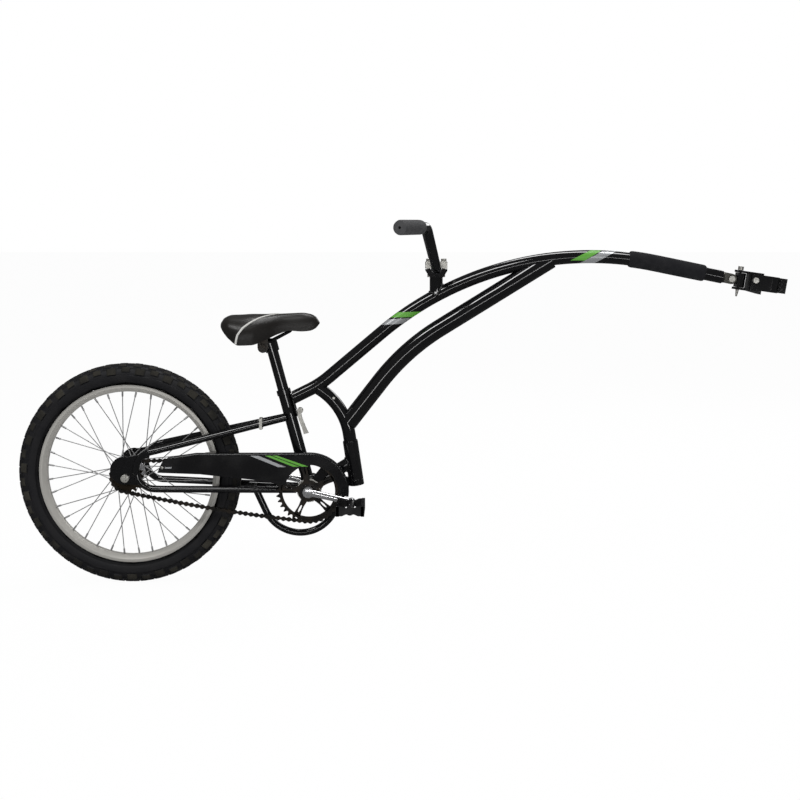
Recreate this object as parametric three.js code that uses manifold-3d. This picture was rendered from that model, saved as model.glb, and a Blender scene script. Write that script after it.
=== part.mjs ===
// Trailer bike: a child's one-wheel bicycle whose boom hooks on the seat post of an adult bicycle.
// It is built on bench axes, X forward from the rear hub, Y to the left and Z up from the ground,
// and then moved so that the centre of the seat post clamp is the origin. All sizes are millimetres.
import * as THREE from "three";
import { mergeVertices } from "three/addons/utils/BufferGeometryUtils.js";
import Module from "manifold-3d";

const wasm = await Module();
wasm.setup();
const { degToRad: rad } = THREE.MathUtils;

// Clearances and the facets of round things
const seatGap = 0.3; // between pieces that touch, are welded or are pressed together
const runGap = 0.5; // between pieces that turn or slide on each other
const weldTolerance = 0.001;
const overrun = 40; // how far a cutting tool runs past what it cuts
const tubeSides = 16;
const smallSides = 12;
const thinSides = 8;
const spokeSides = 3;
const bendSag = 0.6; // how far a bend's straight steps may stand off its true line

// Wheel
const tyreRadius = 256.5; // without the knobs of its tread
const knobHeight = 2.5;
const tyreSection = 46.5; // tyre's height above the rim
const tyreHalfWidth = 27;
const tyreWall = 3.5;
const wheelSegments = 40;
const rimRadius = tyreRadius - tyreSection; // over the flanges
const rimDepth = 16;
const rimHalfWidth = 16;
const rimWall = 2.5;
const rimInnerHalf = 8; // half the width of its inner face
const rimShoulder = 9; // height over which its sides slope out
const beadDepth = 5;
const beadWidth = 3;
const airRadius = 17; // half the height of the inner tube
const airHalfWidth = 15;
const airWall = 2;
const airShare = 0.42; // middle of the inner tube, between the rim and the tyre's crown
const airSegments = 16;
const valveRadius = 4;
const valveBore = 1.5;
const valveReach = 22; // valve past the rim's inner face
const valveTurn = rad(99.3); // valve from the bottom of the wheel, between two spokes
const spokePhase = rad(4.3);
const spokeRadius = 1.1;
const spokeElbow = 2.9; // middle of a spoke from its flange
const spokesPerSide = 18;
const spokeTurnHoles = 3; // holes round the rim that a spoke runs ahead of its flange hole
const nippleRadius = 2.4;
const nippleLength = 11;
const nippleHalfSpread = 4;

// Rear hub and axle
const flangeRadius = 29;
const flangeHalfWidth = 1.6;
const flangeOffset = 28;
const spokeCircle = 26;
const hubBarrel = 16;
const hubBossRadius = 14;
const hubBossEnd = 36.5;
const axleRadius = 4.75;
const axleHalf = 73;
const coneRadius = 9;
const coneLap = 9; // how far each cone reaches in past the freewheel's face
const nutRadius = 9.5;
const nutWidth = 8;
const dropoutOffset = 57.5; // middle of each dropout from the centre plane
const dropoutThick = 5;

// Drivetrain
const chainLine = 41; // chain from the centre plane
const chainPitch = 12.7;
const cogTeeth = 18;
const ringTeeth = 36;
const toothHeight = 3.6;
const cogThick = 3;
const freewheelRadius = 22;
const freewheelBack = 31;
const freewheelFront = 46;
const plateGauge = 2; // each side plate of the chain
const plateInner = 2.2; // half the room between the side plates
const plateHeight = 4.2; // half the height of a side plate
const rollerRadius = 3.6;
const pinsPerRun = 4;
const chainArcSteps = 7;
const chainSag = 5.5; // middle of the lower run below a straight line
const sagSteps = 6;
const crankLength = 102;
const crankDrop = rad(13); // right crank below level, pointing forward
const crankInner = 53; // inner face of each arm from the centre plane
const crankThick = 12;
const crankBossRadius = 14;
const bossTurn = rad(95); // where the arm's edges leave its boss
const crankEyeRadius = 10;
const spindleRadius = 8;
const spindleCollar = 12;
const collarBack = 36;
const ringHoleInner = 24;
const ringHoleOuter = 62;
const ringArms = 5;
const ringArmHalfAngle = rad(12);
const ringArmPhase = rad(28);
const pedalHalfLength = 32;
const pedalHalfWidth = 44;
const pedalThick = 24;
const pedalBarrel = 10;
const pedalBar = 8;
const pedalCorner = 7;
const pedalSpindle = 4.5;
const pedalInset = 3; // from the crank arm to the pedal

// Rear frame
const bracketReach = 418.7; // bottom bracket in front of the hub
const bracketDrop = 33.3; // and below it
const bracketRadius = 28;
const bracketHalf = 34;
const bracketWall = 3;
const cupWall = 4;
const cupFlange = 2.2;
const cupDepth = 10;
const seatTubeLean = rad(14.5);
const seatTubeLength = 238;
const seatTubeRadius = 14.3;
const seatPostRadius = 12.7;
const seatPostWall = 2;
const seatPostInside = 110; // length of post in the seat tube
const seatClampRise = 105; // saddle clamp above the seat tube
const collarRadius = 16.4;
const collarHeight = 12;
const collarEar = 7;
const stayRadius = 8;
const stayWall = 1.4;
const stayBend = 43.5; // hairpin bend, to the middle of the tube
const bendReach = 67.7; // centre of the bend in front of the hub
const bendRise = 17.7; // and above it
const seatStaySlope = rad(13.3);
const upperSplay = 12; // middle of the upper leg from the centre plane at its front end
const lowerSplay = 22;
const lowerShort = 29; // legs stop this far behind the bottom bracket
const upperShort = 43;
const upperStayLength = bracketReach - bendReach - upperShort;
const lowerStayLength = bracketReach - bendReach - lowerShort;
const splayStart = 13; // the legs start to close this far in front of the bend's centre
const chainStaySlope = rad(1.6); // lower leg falls to the front
const clipShare = 0.17; // flag clip down the right upper leg
const bridgeGap = 34.2; // stay bridge in front of the tyre
const bridgeReach = tyreRadius + bridgeGap - bendReach; // along the lower leg from its bend
const linkRadius = 14.3;
const linkWall = 1.5;
const linkRise = 58; // link tube's axis on the sleeve, above the sleeve's foot
const loopRadius = 8;
const loopStop = 17.7; // far end of the loop behind the hinge's foot
const loopSlope = rad(66);
const loopLeg = 63.4;
const loopFarLeg = 86;
const dropoutLobe = 33;
const dropoutLobeRise = 17;
const dropoutLobeBack = 2;
const lobeTurn = rad(75); // the lobe is open this far above and below straight ahead
const dropoutFrom = rad(115); // edge along the stay's bend
const dropoutTo = rad(235);
const webThick = 4;
const webFrom = rad(95); // web in the left stay's bend, from its top round the back
const webTo = rad(200);

// Fold hinge and its post
const sleeveReach = 110; // foot of the hinge in front of the bottom bracket
const sleeveRise = 6;
const sleeveLean = rad(8.2);
const sleeveRadius = 17.5;
const sleeveBore = 14.5;
const hingeHeight = 106;
const hingeCapHeight = 13;
const hingeCapSkin = 6;
const hingePostRadius = 12;
const bushFlange = 2;
const bushLength = 14;

// Front frame
const frameWall = 1.6;
const strutRadius = 15;
const strutBend = 150;
const strutTurn = rad(56.8);
const strutFoot = 15;
const strutHead = 18;
const boomRadius = 15;
const tailDrop = 25.8; // tail of the boom below the seat tube's top
const tailAlong = seatTubeLength - tailDrop;
const tailAhead = 10; // and in front of the tube's axis, behind the latch plate
const tailSlope = rad(26.4);
const tailLength = 49.7;
const tailBend = 230;
const climbSlope = rad(40.1);
const climbLength = 158.9;
const archBend = 741;
const noseSlope = rad(11.5);
const noseLength = 157.5;
const lowerRadius = 20.5;
const lowerStart = 42.4; // lower tube's foot above the sleeve
const lowerAhead = 2.2;
const lowerSlope = rad(52.3);
const lowerLeg = 122;
const lowerBend = 521;
const lowerTopSlope = rad(31.8);
const lowerTopLength = 180;
const lowerFlat = 117; // the tube narrows sideways over this length to meet the boom
const lowerFlatShare = 0.72;
const stemAhead = 294; // handlebar stem in front of the bottom bracket
const stemReach = bracketReach + stemAhead;
const barClampRise = 61.6; // bar's middle above the boom's axis
const stemRadius = 15;
const padRadius = 19.1;
const padWall = 3.2;
const padArc = 61; // pad's length on the boom's arch
const padShort = 39.5; // and its distance from the boom's end

// Handlebar and its clamp
const barRadius = 11.1;
const barWall = 1.8;
const barHalf = 240;
const barBend = 28;
const riserFoot = 31;
const riserTopOut = 103;
const riserTopBack = 24;
const riserHeight = 95;
const gripBack = 82;
const gripLength = 118;
const gripRadius = 16;
const clampHalfX = 25;
const clampHalfY = 17;
const clampDrop = 19; // stem head below the bar's middle
const clampEar = 4; // its ears start to taper this far below the bar's middle
const capRise = 16; // cap above the bar's middle
const clampSplit = 1; // half the slit between cap and stem head
const clampBolt = 3.5;
const clampBoltOffset = 17;
const clampBoltHead = 6.5;
const clampHeadHeight = 7;

// Latch between the boom's tail and the seat tube
const latchFoot = 67; // latch plate's foot and head below the seat tube's top
const latchHead = 13;
const latchLow = seatTubeLength - latchFoot;
const latchHigh = seatTubeLength - latchHead;
const padFace = 14.8; // front of the seat tube's pad from the tube's axis
const padHalfWidth = 9;
const latchGap = 0.9;
const latchPlateThick = 2.2;
const latchPlateHalf = 13;
const skewerDrop = 57; // skewer below the seat tube's top
const skewerAlong = seatTubeLength - skewerDrop;
const skewerRadius = 2.8;
const slotHalf = 3.6;
const camRadius = 7;
const camHalfWidth = 6.3;
const camEyeRadius = 5;
const camEyeHalf = 2.7;
const camPin = 2;
const camGap = 0.4;
const leverDrop = 12; // blade's root below the cam's axis
const leverSet = 5; // and behind it
const leverLength = 56;
const leverTip = 14; // length of the wider tip
const leverTipSet = 0.3; // tip's middle behind the cam's axis
const leverWidth = 9.3;
const leverTipWidth = 11.8;
const leverThick = 5;
const bossRadius = 8;
const bossDrop = 49; // boss below the seat tube's top
const bossAlong = seatTubeLength - bossDrop;
const bossProud = 3;

// Saddle
const saddleLength = 224;
const saddleHalfWidth = 75;
const saddleTail = 95; // tail of the saddle behind the clamp's barrel
const saddleDeck = 46; // underside of the padding above the barrel
const saddleTop = 76;
const shellThick = 5;
const railRadius = 3.5;
const railHalfSpan = 22;
const railRise = 14; // rails above the clamp's barrel
const railBack = 52;
const railFront = 62;
const railFlatBack = 18;
const railFlatFront = 18;
const railBend = 16;
const railNoseSpan = 10;
const barrelRadius = 12;
const barrelHalf = 17;
const barrelBack = 17; // barrel behind the post's axis
const barrelDrop = 2;
const headRadius = 16;
const headHeight = 26;
const cheekWidth = 9;
const cheekTop = 19;
const clampBoltRadius = 4;
const clampNutRadius = 8;
const clampNutWidth = 6;

// Chain guard
const guardFace = 49.5; // inner face from the centre plane
const guardSheet = 1.5;
const guardRadius = 89.5;
const guardAhead = 3.6; // middle of its round end in front of the bottom bracket
const guardInner = 62;
const guardInnerAhead = 7;
const guardEnd = rad(-8);
const guardInnerEnd = rad(166);
const guardFlange = 11;
const guardTail = 71.7; // tail's tip in front of the hub
const guardTailTop = 96.3;
const guardTopRise = 45.7; // tail's top edge above the hub
const guardShoulder = 160.7; // where the top edge stops rising
const guardShoulderRise = 55.3;
const guardTipRise = 10.7;
const guardLowRise = 7.2;
const guardLowReach = 168.7;
const guardMidBack = 123; // behind the bottom bracket
const guardMidReach = bracketReach - guardMidBack;
const guardMidRise = -6.3;
const bracketPlate = 1.7; // clamped between the shell and the right cup
const bracketPlateHalf = 11;
const bracketPlateAngle = rad(52);
const bracketLegOuter = 86.5;
const bracketLegInner = 79.5;
const tabThick = 2;
const tabHalf = 8;

// Hitch, measured from the pitch bolt along the hitch
const hitchTilt = rad(8);
const pitchReach = 20; // pitch bolt past the boom's end
const clampReach = 90.2; // seat post from the pitch bolt
const tongueHalfHeight = 12;
const tongueHalfWidth = 13;
const tongueInside = 62;
const forkGap = 6.2;
const forkDepth = 16;
const pitchBolt = 5;
const pitchHead = 7.3;
const pitchHeadWidth = 5;
const lugHalf = 5.7;
const lugRadius = 10;
const blockBack = 13;
const yawReach = 20;
const yawRadius = 14;
const blockHalfHeight = 16.5;
const yawPin = 4;
const pinHeadRadius = 6.5;
const pinHeadHeight = 9;
const pinTipLength = 16;
const pinTipRadius = 2;
const earThick = 5;
const earRadius = 13;
const yokeBack = 38;
const yokeFront = 72;
const yokeHalf = 12;
const yokeTop = 22;
const yokeBottom = 26;
const postRadius = 14.3;
const bushWall = 1.6;
const clampWall = 5;
const clampHalfHeight = 18;
const cheekThick = 5.5;
const cheekBack = 44;
const crossReach = 53.6;
const crossRise = 4.3;
const crossBolt = 4;
const crossHead = 7;
const crossHeadWidth = 5;
const flangeFront = 38; // clamp flange past the post's axis
const flangeBack = 16;
const flangeThick = 7;
const flangeSlit = 1;
const flangeBoltReach = 26;
const flangeBoltRise = 7.5;
const flangeBolt = 3;
const flangeBoltHead = 5.5;
const flangeBoltWidth = 4;

// Colours and finishes, as in the photograph
const finish = (color, roughness, metalness) =>
  new THREE.MeshStandardMaterial({ color, roughness, metalness });
const paint = finish(0x0b0b0d, 0.18, 0.1);
const chrome = finish(0xd9d9d9, 0.08, 1);
const zinc = finish(0xb9b7ad, 0.35, 0.9);
const greyPaint = finish(0xbab6ab, 0.45, 0.3);
const rubber = finish(0x17171b, 0.85, 0);
const foam = finish(0x3a3a3b, 0.95, 0);
const resin = finish(0x161616, 0.5, 0);
const vinyl = finish(0x37322c, 0.45, 0);

// Small tools for shapes
const at = (x, y, z) => new THREE.Vector3(x, y, z);
const yAxis = at(0, 1, 0);

// The bare triangles of a geometry, turned so that its faces point out.
function outward(geometry) {
  const bare = geometry.index ? geometry.toNonIndexed() : geometry.clone();
  const p = bare.getAttribute("position");
  let volume = 0;
  const [a, b, c] = [at(0, 0, 0), at(0, 0, 0), at(0, 0, 0)];
  for (let i = 0; i < p.count; i += 3) {
    a.fromBufferAttribute(p, i);
    b.fromBufferAttribute(p, i + 1);
    c.fromBufferAttribute(p, i + 2);
    volume += a.dot(b.cross(c));
  }
  if (volume < 0)
    for (let i = 0; i < p.count; i += 3) {
      b.fromBufferAttribute(p, i + 1);
      c.fromBufferAttribute(p, i + 2);
      p.setXYZ(i + 1, c.x, c.y, c.z);
      p.setXYZ(i + 2, b.x, b.y, b.z);
    }
  return bare;
}

function toSolid(geometry) {
  const bare = outward(geometry);
  bare.deleteAttribute("normal");
  bare.deleteAttribute("uv");
  const merged = mergeVertices(bare, weldTolerance);
  const vertProperties = merged.getAttribute("position").array;
  const triVerts = new Uint32Array(merged.index.array);
  return new wasm.Manifold(new wasm.Mesh({ numProp: 3, vertProperties, triVerts }));
}

function toGeometry(solid) {
  const mesh = solid.getMesh();
  const geometry = new THREE.BufferGeometry();
  geometry.setAttribute("position", new THREE.BufferAttribute(mesh.vertProperties, 3));
  geometry.setIndex(new THREE.BufferAttribute(mesh.triVerts, 1));
  const flat = geometry.toNonIndexed();
  flat.computeVertexNormals();
  return flat;
}

const cut = (body, ...tools) =>
  toGeometry(tools.reduce((s, tool) => s.subtract(toSolid(tool)), toSolid(body)));
const join = (...bodies) =>
  toGeometry(bodies.map(toSolid).reduce((all, one) => all.add(one)));
const common = (a, b) => toGeometry(toSolid(a).intersect(toSolid(b)));

const circle = (radius, sides) =>
  Array.from({ length: sides }, (_, i) => {
    const angle = (2 * Math.PI * i) / sides;
    return new THREE.Vector2(radius * Math.cos(angle), radius * Math.sin(angle));
  });

// A path through fixed stations, so that straight runs take one step and bends take many.
class Route extends THREE.Curve {
  constructor(stations) {
    super();
    this.stations = stations;
  }

  getPoint(t, target = new THREE.Vector3()) {
    const place = t * (this.stations.length - 1);
    const i = Math.min(Math.floor(place), this.stations.length - 2);
    return target.lerpVectors(this.stations[i], this.stations[i + 1], place - i);
  }

  getPointAt(u, target) {
    return this.getPoint(u, target);
  }

  getTangentAt(u, target = new THREE.Vector3()) {
    const last = this.stations.length - 1;
    const i = Math.round(u * last);
    const leg = (k) => this.stations[k + 1].clone().sub(this.stations[k]).normalize();
    const before = leg(Math.max(i - 1, 0));
    const after = leg(Math.min(i, last - 1));
    return target.addVectors(before, after).normalize();
  }
}

function pipe(stations, radius, bore, sides = tubeSides, boreSides = thinSides) {
  const ring = new THREE.Shape(circle(radius, sides));
  if (bore) ring.holes.push(new THREE.Path(circle(bore, boreSides)));
  const options = { steps: stations.length - 1, extrudePath: new Route(stations) };
  return new THREE.ExtrudeGeometry(ring, options);
}

const rod = (from, to, radius, bore, sides = tubeSides) =>
  pipe([from, to], radius, bore, sides, sides);
const across = (x, z, y0, y1, radius, bore, sides) =>
  rod(at(x, y0, z), at(x, y1, z), radius, bore, sides);
const bendSteps = (turn, radius) =>
  Math.max(2, Math.ceil(Math.abs(turn) / Math.sqrt((8 * bendSag) / radius)));

// Stations in the centre plane: straight runs and bends, with a heading that rises from +X.
// A bend's turn is positive to the left, towards +Z when it heads along +X.
function walk(start, heading, moves) {
  const stations = [start.clone()];
  const here = start.clone();
  let slope = heading;
  for (const { ahead, turn, radius } of moves) {
    if (ahead) {
      here.add(at(ahead * Math.cos(slope), 0, ahead * Math.sin(slope)));
      stations.push(here.clone());
      continue;
    }
    const steps = bendSteps(turn, radius);
    const side = Math.sign(turn) * radius;
    const centre = here.clone().add(at(-side * Math.sin(slope), 0, side * Math.cos(slope)));
    for (let i = 1; i <= steps; i++) {
      const now = slope + (turn * i) / steps;
      stations.push(centre.clone().add(at(side * Math.sin(now), 0, -side * Math.cos(now))));
    }
    here.copy(stations.at(-1));
    slope += turn;
  }
  return stations;
}

// Stations along corner points in space, with each inner corner rounded.
function bend(points, radius) {
  const stations = [points[0].clone()];
  for (let i = 1; i < points.length - 1; i++) {
    const back = points[i - 1].clone().sub(points[i]).normalize();
    const on = points[i + 1].clone().sub(points[i]).normalize();
    const half = back.angleTo(on) / 2;
    const middle = back.clone().add(on).normalize();
    const centre = points[i].clone().addScaledVector(middle, radius / Math.sin(half));
    const start = points[i].clone().addScaledVector(back, radius / Math.tan(half)).sub(centre);
    const sweep = Math.PI - 2 * half;
    const steps = bendSteps(sweep, radius);
    const axis = new THREE.Vector3().crossVectors(on, back).normalize();
    for (let k = 0; k <= steps; k++)
      stations.push(start.clone().applyAxisAngle(axis, (sweep * k) / steps).add(centre));
  }
  stations.push(points.at(-1).clone());
  return stations;
}

// A turned piece along an axis from a point, with its profile as radius and height pairs.
function turned(profile, from, direction, sides = tubeSides) {
  const points = profile.map(([r, h]) => new THREE.Vector2(r, h));
  const geometry = new THREE.LatheGeometry(points, sides);
  const turn = new THREE.Quaternion().setFromUnitVectors(yAxis, direction.clone().normalize());
  return geometry.applyQuaternion(turn).translate(from.x, from.y, from.z);
}

// A flat piece with its outline in X and Z, from y0 to y1.
function sheet(outline, y0, y1) {
  const shape = outline instanceof THREE.Shape ? outline : new THREE.Shape(outline);
  const options = { depth: y1 - y0, bevelEnabled: false, curveSegments: smallSides };
  return new THREE.ExtrudeGeometry(shape, options).rotateX(Math.PI / 2).translate(0, y1, 0);
}

function block(x0, x1, y0, y1, z0, z1) {
  const box = new THREE.BoxGeometry(x1 - x0, y1 - y0, z1 - z0);
  return box.translate((x0 + x1) / 2, (y0 + y1) / 2, (z0 + z1) / 2);
}

// A solid through closed rings of points, capped at both ends.
function loft(rings) {
  const points = [];
  const face = (a, b, c) => points.push(a, b, c);
  const count = rings[0].length;
  for (let i = 0; i < rings.length - 1; i++)
    for (let j = 0; j < count; j++) {
      const k = (j + 1) % count;
      face(rings[i][j], rings[i + 1][j], rings[i + 1][k]);
      face(rings[i][j], rings[i + 1][k], rings[i][k]);
    }
  for (const [ring, flip] of [[rings[0], false], [rings.at(-1), true]]) {
    const middle = ring.reduce((sum, p) => sum.add(p), at(0, 0, 0)).divideScalar(count);
    for (let j = 0; j < count; j++) {
      const k = (j + 1) % count;
      if (flip) face(middle, ring[k], ring[j]);
      else face(middle, ring[j], ring[k]);
    }
  }
  return new THREE.BufferGeometry().setFromPoints(points);
}

const v2 = (x, z) => new THREE.Vector2(x, z);
const arc = (cx, cz, radius, from, to, steps) =>
  Array.from({ length: steps + 1 }, (_, i) => {
    const angle = from + ((to - from) * i) / steps;
    return v2(cx + radius * Math.cos(angle), cz + radius * Math.sin(angle));
  });

// The assembly
const bench = new THREE.Group();
function add(name, geometry, material, parent = bench) {
  const faced = outward(geometry);
  faced.computeVertexNormals();
  const mesh = new THREE.Mesh(faced, material);
  mesh.name = name;
  parent.add(mesh);
  return mesh;
}

// Main places on the bench
const hubHeight = tyreRadius + knobHeight;
const hub = at(0, 0, hubHeight);
const bracket = at(bracketReach, 0, hubHeight - bracketDrop);
const seatUp = at(-Math.sin(seatTubeLean), 0, Math.cos(seatTubeLean));
const seatAhead = at(Math.cos(seatTubeLean), 0, Math.sin(seatTubeLean));
const onSeatTube = (along, ahead, y = 0) =>
  bracket.clone().addScaledVector(seatUp, along).addScaledVector(seatAhead, ahead).setY(y);
const hingeUp = at(-Math.sin(sleeveLean), 0, Math.cos(sleeveLean));
const hingeFoot = bracket.clone().add(at(sleeveReach, 0, sleeveRise));
const onHinge = (height) => hingeFoot.clone().addScaledVector(hingeUp, height);

// Front frame
const boomBore = boomRadius - frameWall;
const padTurn = padArc / archBend;
const boomBack = walk(onSeatTube(tailAlong, tailAhead), tailSlope, [
  { ahead: tailLength },
  { turn: climbSlope - tailSlope, radius: tailBend },
  { ahead: climbLength },
  { turn: padTurn - noseSlope - climbSlope, radius: archBend },
]);
const boomFront = walk(boomBack.at(-1), padTurn - noseSlope, [
  { turn: -padTurn, radius: archBend },
  { ahead: noseLength - padShort },
  { ahead: padShort },
]);
const boomRoute = [...boomBack, ...boomFront.slice(1)];
const boomEnd = boomRoute.at(-1);
const noseDirection = at(Math.cos(noseSlope), 0, -Math.sin(noseSlope));
const latchBack = padFace + latchGap;
const latchFront = latchBack + latchPlateThick;
const boomCore = pipe(boomRoute, boomRadius + seatGap);

// A box on the seat tube's axes, between two heights, two distances ahead and two sides.
function onTubeBox(low, high, back, front, y0, y1) {
  const corner = (along, ahead) => {
    const p = onSeatTube(along, ahead);
    return v2(p.x, p.z);
  };
  const outline = [corner(low, back), corner(low, front), corner(high, front), corner(high, back)];
  return sheet(outline, y0, y1);
}

const tailTrim = onTubeBox(
  latchLow, latchHigh + overrun, -overrun, latchFront + seatGap, -overrun, overrun,
);
const boomPipe = pipe(boomRoute, boomRadius, boomBore, tubeSides, smallSides);
add("boom_tube", cut(boomPipe, tailTrim), paint);

// Everything above the boom's axis, to trim the tubes that are welded under it.
const raised = (rise) => boomRoute.map((p) => v2(p.x, p.z + rise));
const aboveBoom = sheet([...raised(0), ...raised(overrun * 2).reverse()], -overrun, overrun);
const onBoom = (x) => {
  const i = boomRoute.findIndex((p) => p.x > x);
  const [back, front] = [boomRoute[i - 1], boomRoute[i]];
  return back.clone().lerp(front, (x - back.x) / (front.x - back.x));
};

const strutRoute = walk(onHinge(hingeHeight + runGap), Math.PI / 2 + sleeveLean, [
  { ahead: strutFoot },
  { turn: strutTurn, radius: strutBend },
  { ahead: strutHead },
]);
const strutBore = hingePostRadius + seatGap;
const strutCore = pipe(strutRoute, strutRadius + seatGap);
const strutPipe = pipe(strutRoute, strutRadius, strutBore, tubeSides, smallSides);
add("strut_tube", cut(strutPipe, boomCore, aboveBoom), paint);

const lowerFoot = onHinge(hingeHeight + lowerStart).add(at(lowerAhead, 0, 0));
const lowerRoute = walk(lowerFoot, lowerSlope, [
  { ahead: lowerLeg },
  { turn: lowerTopSlope - lowerSlope, radius: lowerBend },
  { ahead: lowerTopLength },
  { ahead: lowerFlat },
]);
const lowerPipe = pipe(lowerRoute, lowerRadius, lowerRadius - frameWall);
const lowerPlaces = lowerPipe.getAttribute("position");
const flatFrom = lowerRoute.at(-1).clone().lerp(lowerRoute.at(-2), 1 / 2).x;
for (let i = 0; i < lowerPlaces.count; i++)
  if (lowerPlaces.getX(i) > flatFrom) lowerPlaces.setY(i, lowerPlaces.getY(i) * lowerFlatShare);
add("lower_tube", cut(lowerPipe, boomCore, aboveBoom, strutCore), paint);

add(
  "hinge_post",
  rod(
    onHinge(hingeCapSkin + seatGap), onHinge(hingeHeight + strutFoot), hingePostRadius, 0,
    smallSides,
  ),
  zinc,
);
const capProfile = [
  [0, 0],
  [sleeveRadius, 0],
  [sleeveRadius, hingeCapHeight],
  [hingePostRadius + seatGap, hingeCapHeight],
  [hingePostRadius + seatGap, hingeCapSkin],
  [0, hingeCapSkin],
];
add("hinge_cap", turned(capProfile, hingeFoot, hingeUp), paint);

// Handlebar stem, its cap and bolts
const barClamp = onBoom(stemReach).add(at(0, 0, barClampRise));
const barClampHeight = barClamp.z;
const stemTop = at(stemReach, 0, barClampHeight - clampDrop + seatGap);
const stemTube = rod(onBoom(stemReach), stemTop, stemRadius);
const barHole = across(stemReach, barClampHeight, -overrun, overrun, barRadius + seatGap);
const boltPlaces = [-clampBoltOffset, clampBoltOffset];
const boltHoles = boltPlaces.map((x) =>
  rod(
    barClamp.clone().add(at(x, 0, -clampDrop - seatGap)),
    barClamp.clone().add(at(x, 0, capRise + overrun)),
    clampBolt + seatGap,
    0,
    thinSides,
  ),
);
const clampBlock = (z0, z1) =>
  block(
    stemReach - clampHalfX, stemReach + clampHalfX, -clampHalfY, clampHalfY,
    barClampHeight + z0, barClampHeight + z1,
  );
const headHalf = [[clampHalfX, -clampSplit], [clampHalfX, -clampEar], [stemRadius, -clampDrop]];
const headOutline = [
  ...headHalf.map(([x, z]) => v2(stemReach + x, barClampHeight + z)),
  ...headHalf.map(([x, z]) => v2(stemReach - x, barClampHeight + z)).reverse(),
];
const stemHead = sheet(headOutline, -clampHalfY, clampHalfY);
add("stem_tube", cut(join(stemTube, stemHead), boomCore, barHole, ...boltHoles), paint);
const capBolts = boltPlaces.map((x) =>
  join(
    rod(
      barClamp.clone().add(at(x, 0, -clampDrop)),
      barClamp.clone().add(at(x, 0, capRise + clampHeadHeight / 2)),
      clampBolt, 0, thinSides,
    ),
    rod(
      barClamp.clone().add(at(x, 0, capRise - clampSplit)),
      barClamp.clone().add(at(x, 0, capRise + clampHeadHeight)),
      clampBoltHead, 0, thinSides,
    ),
  ),
);
add("stem_cap", join(cut(clampBlock(clampSplit, capRise), barHole), ...capBolts), zinc);

// Latch plate on the boom's tail, slotted from the left for the skewer
const latchSlot = onTubeBox(
  skewerAlong - slotHalf, skewerAlong + slotHalf, 0, latchFront + overrun, -slotHalf, overrun,
);
const latchPlate = onTubeBox(
  latchLow, latchHigh, latchBack, latchFront, -latchPlateHalf, latchPlateHalf,
);
add("latch_plate", cut(latchPlate, latchSlot), paint);

// Foam pad round the boom
const padRoute = boomFront.slice(0, -1);
const padPipe = pipe(padRoute, padRadius, boomRadius + seatGap, tubeSides, tubeSides);
add("foam_pad", padPipe, foam);

// Hitch tongue in the boom's end
const pitchPlace = boomEnd.clone().addScaledVector(noseDirection, pitchReach);
const nose = new THREE.Group();
nose.position.copy(pitchPlace);
nose.rotation.y = noseSlope;
bench.add(nose);
const tonguePlug = rod(
  at(-pitchReach - tongueInside, 0, 0), at(-forkDepth, 0, 0), boomBore - seatGap, 0, smallSides,
);
const tongueFork = join(
  block(-forkDepth, 0, -tongueHalfWidth, tongueHalfWidth, -tongueHalfHeight, tongueHalfHeight),
  across(0, 0, -tongueHalfWidth, tongueHalfWidth, tongueHalfHeight),
);
const forkSlot = block(
  -forkDepth + (forkDepth - lugRadius) / 2, overrun, -forkGap, forkGap, -overrun, overrun,
);
const pitchHole = across(0, 0, -overrun, overrun, pitchBolt + seatGap);
add("hitch_tongue", cut(join(tonguePlug, tongueFork), forkSlot, pitchHole), zinc, nose);
const pitchProfile = [
  [0, -tongueHalfWidth - seatGap - pitchHeadWidth],
  [pitchHead, -tongueHalfWidth - seatGap - pitchHeadWidth],
  [pitchHead, -tongueHalfWidth - seatGap],
  [pitchBolt, -tongueHalfWidth - seatGap],
  [pitchBolt, tongueHalfWidth + seatGap],
  [pitchHead, tongueHalfWidth + seatGap],
  [pitchHead, tongueHalfWidth + seatGap + pitchHeadWidth],
  [0, tongueHalfWidth + seatGap + pitchHeadWidth],
];
add("pitch_bolt", turned(pitchProfile, at(0, 0, 0), yAxis, smallSides), zinc, nose);

// Handlebar and grips
const barHalfRoute = (side) => [
  at(-riserTopBack, side * riserTopOut, riserHeight),
  at(0, side * riserFoot, 0),
];
const barCorners = [
  at(-gripBack, barHalf, riserHeight),
  ...barHalfRoute(1),
  at(0, -riserFoot, 0),
  at(-riserTopBack, -riserTopOut, riserHeight),
  at(-gripBack, -barHalf, riserHeight),
];
const handlebar = new THREE.Group();
handlebar.position.copy(barClamp);
bench.add(handlebar);
add("handlebar", pipe(bend(barCorners, barBend), barRadius, barRadius - barWall), paint, handlebar);
for (const [name, side] of [["grip_right", -1], ["grip_left", 1]]) {
  const end = at(-gripBack, side * barHalf, riserHeight);
  const inner = at(-riserTopBack, side * riserTopOut, riserHeight);
  const direction = inner.sub(end).normalize();
  const endSkin = gripRadius - barRadius;
  const from = end.clone().addScaledVector(direction, -endSkin);
  const profile = [
    [0, 0],
    [gripRadius, 0],
    [gripRadius, gripLength],
    [barRadius + seatGap, gripLength],
    [barRadius + seatGap, endSkin - seatGap],
    [0, endSkin - seatGap],
  ];
  add(name, turned(profile, from, direction), foam, handlebar);
}

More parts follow.
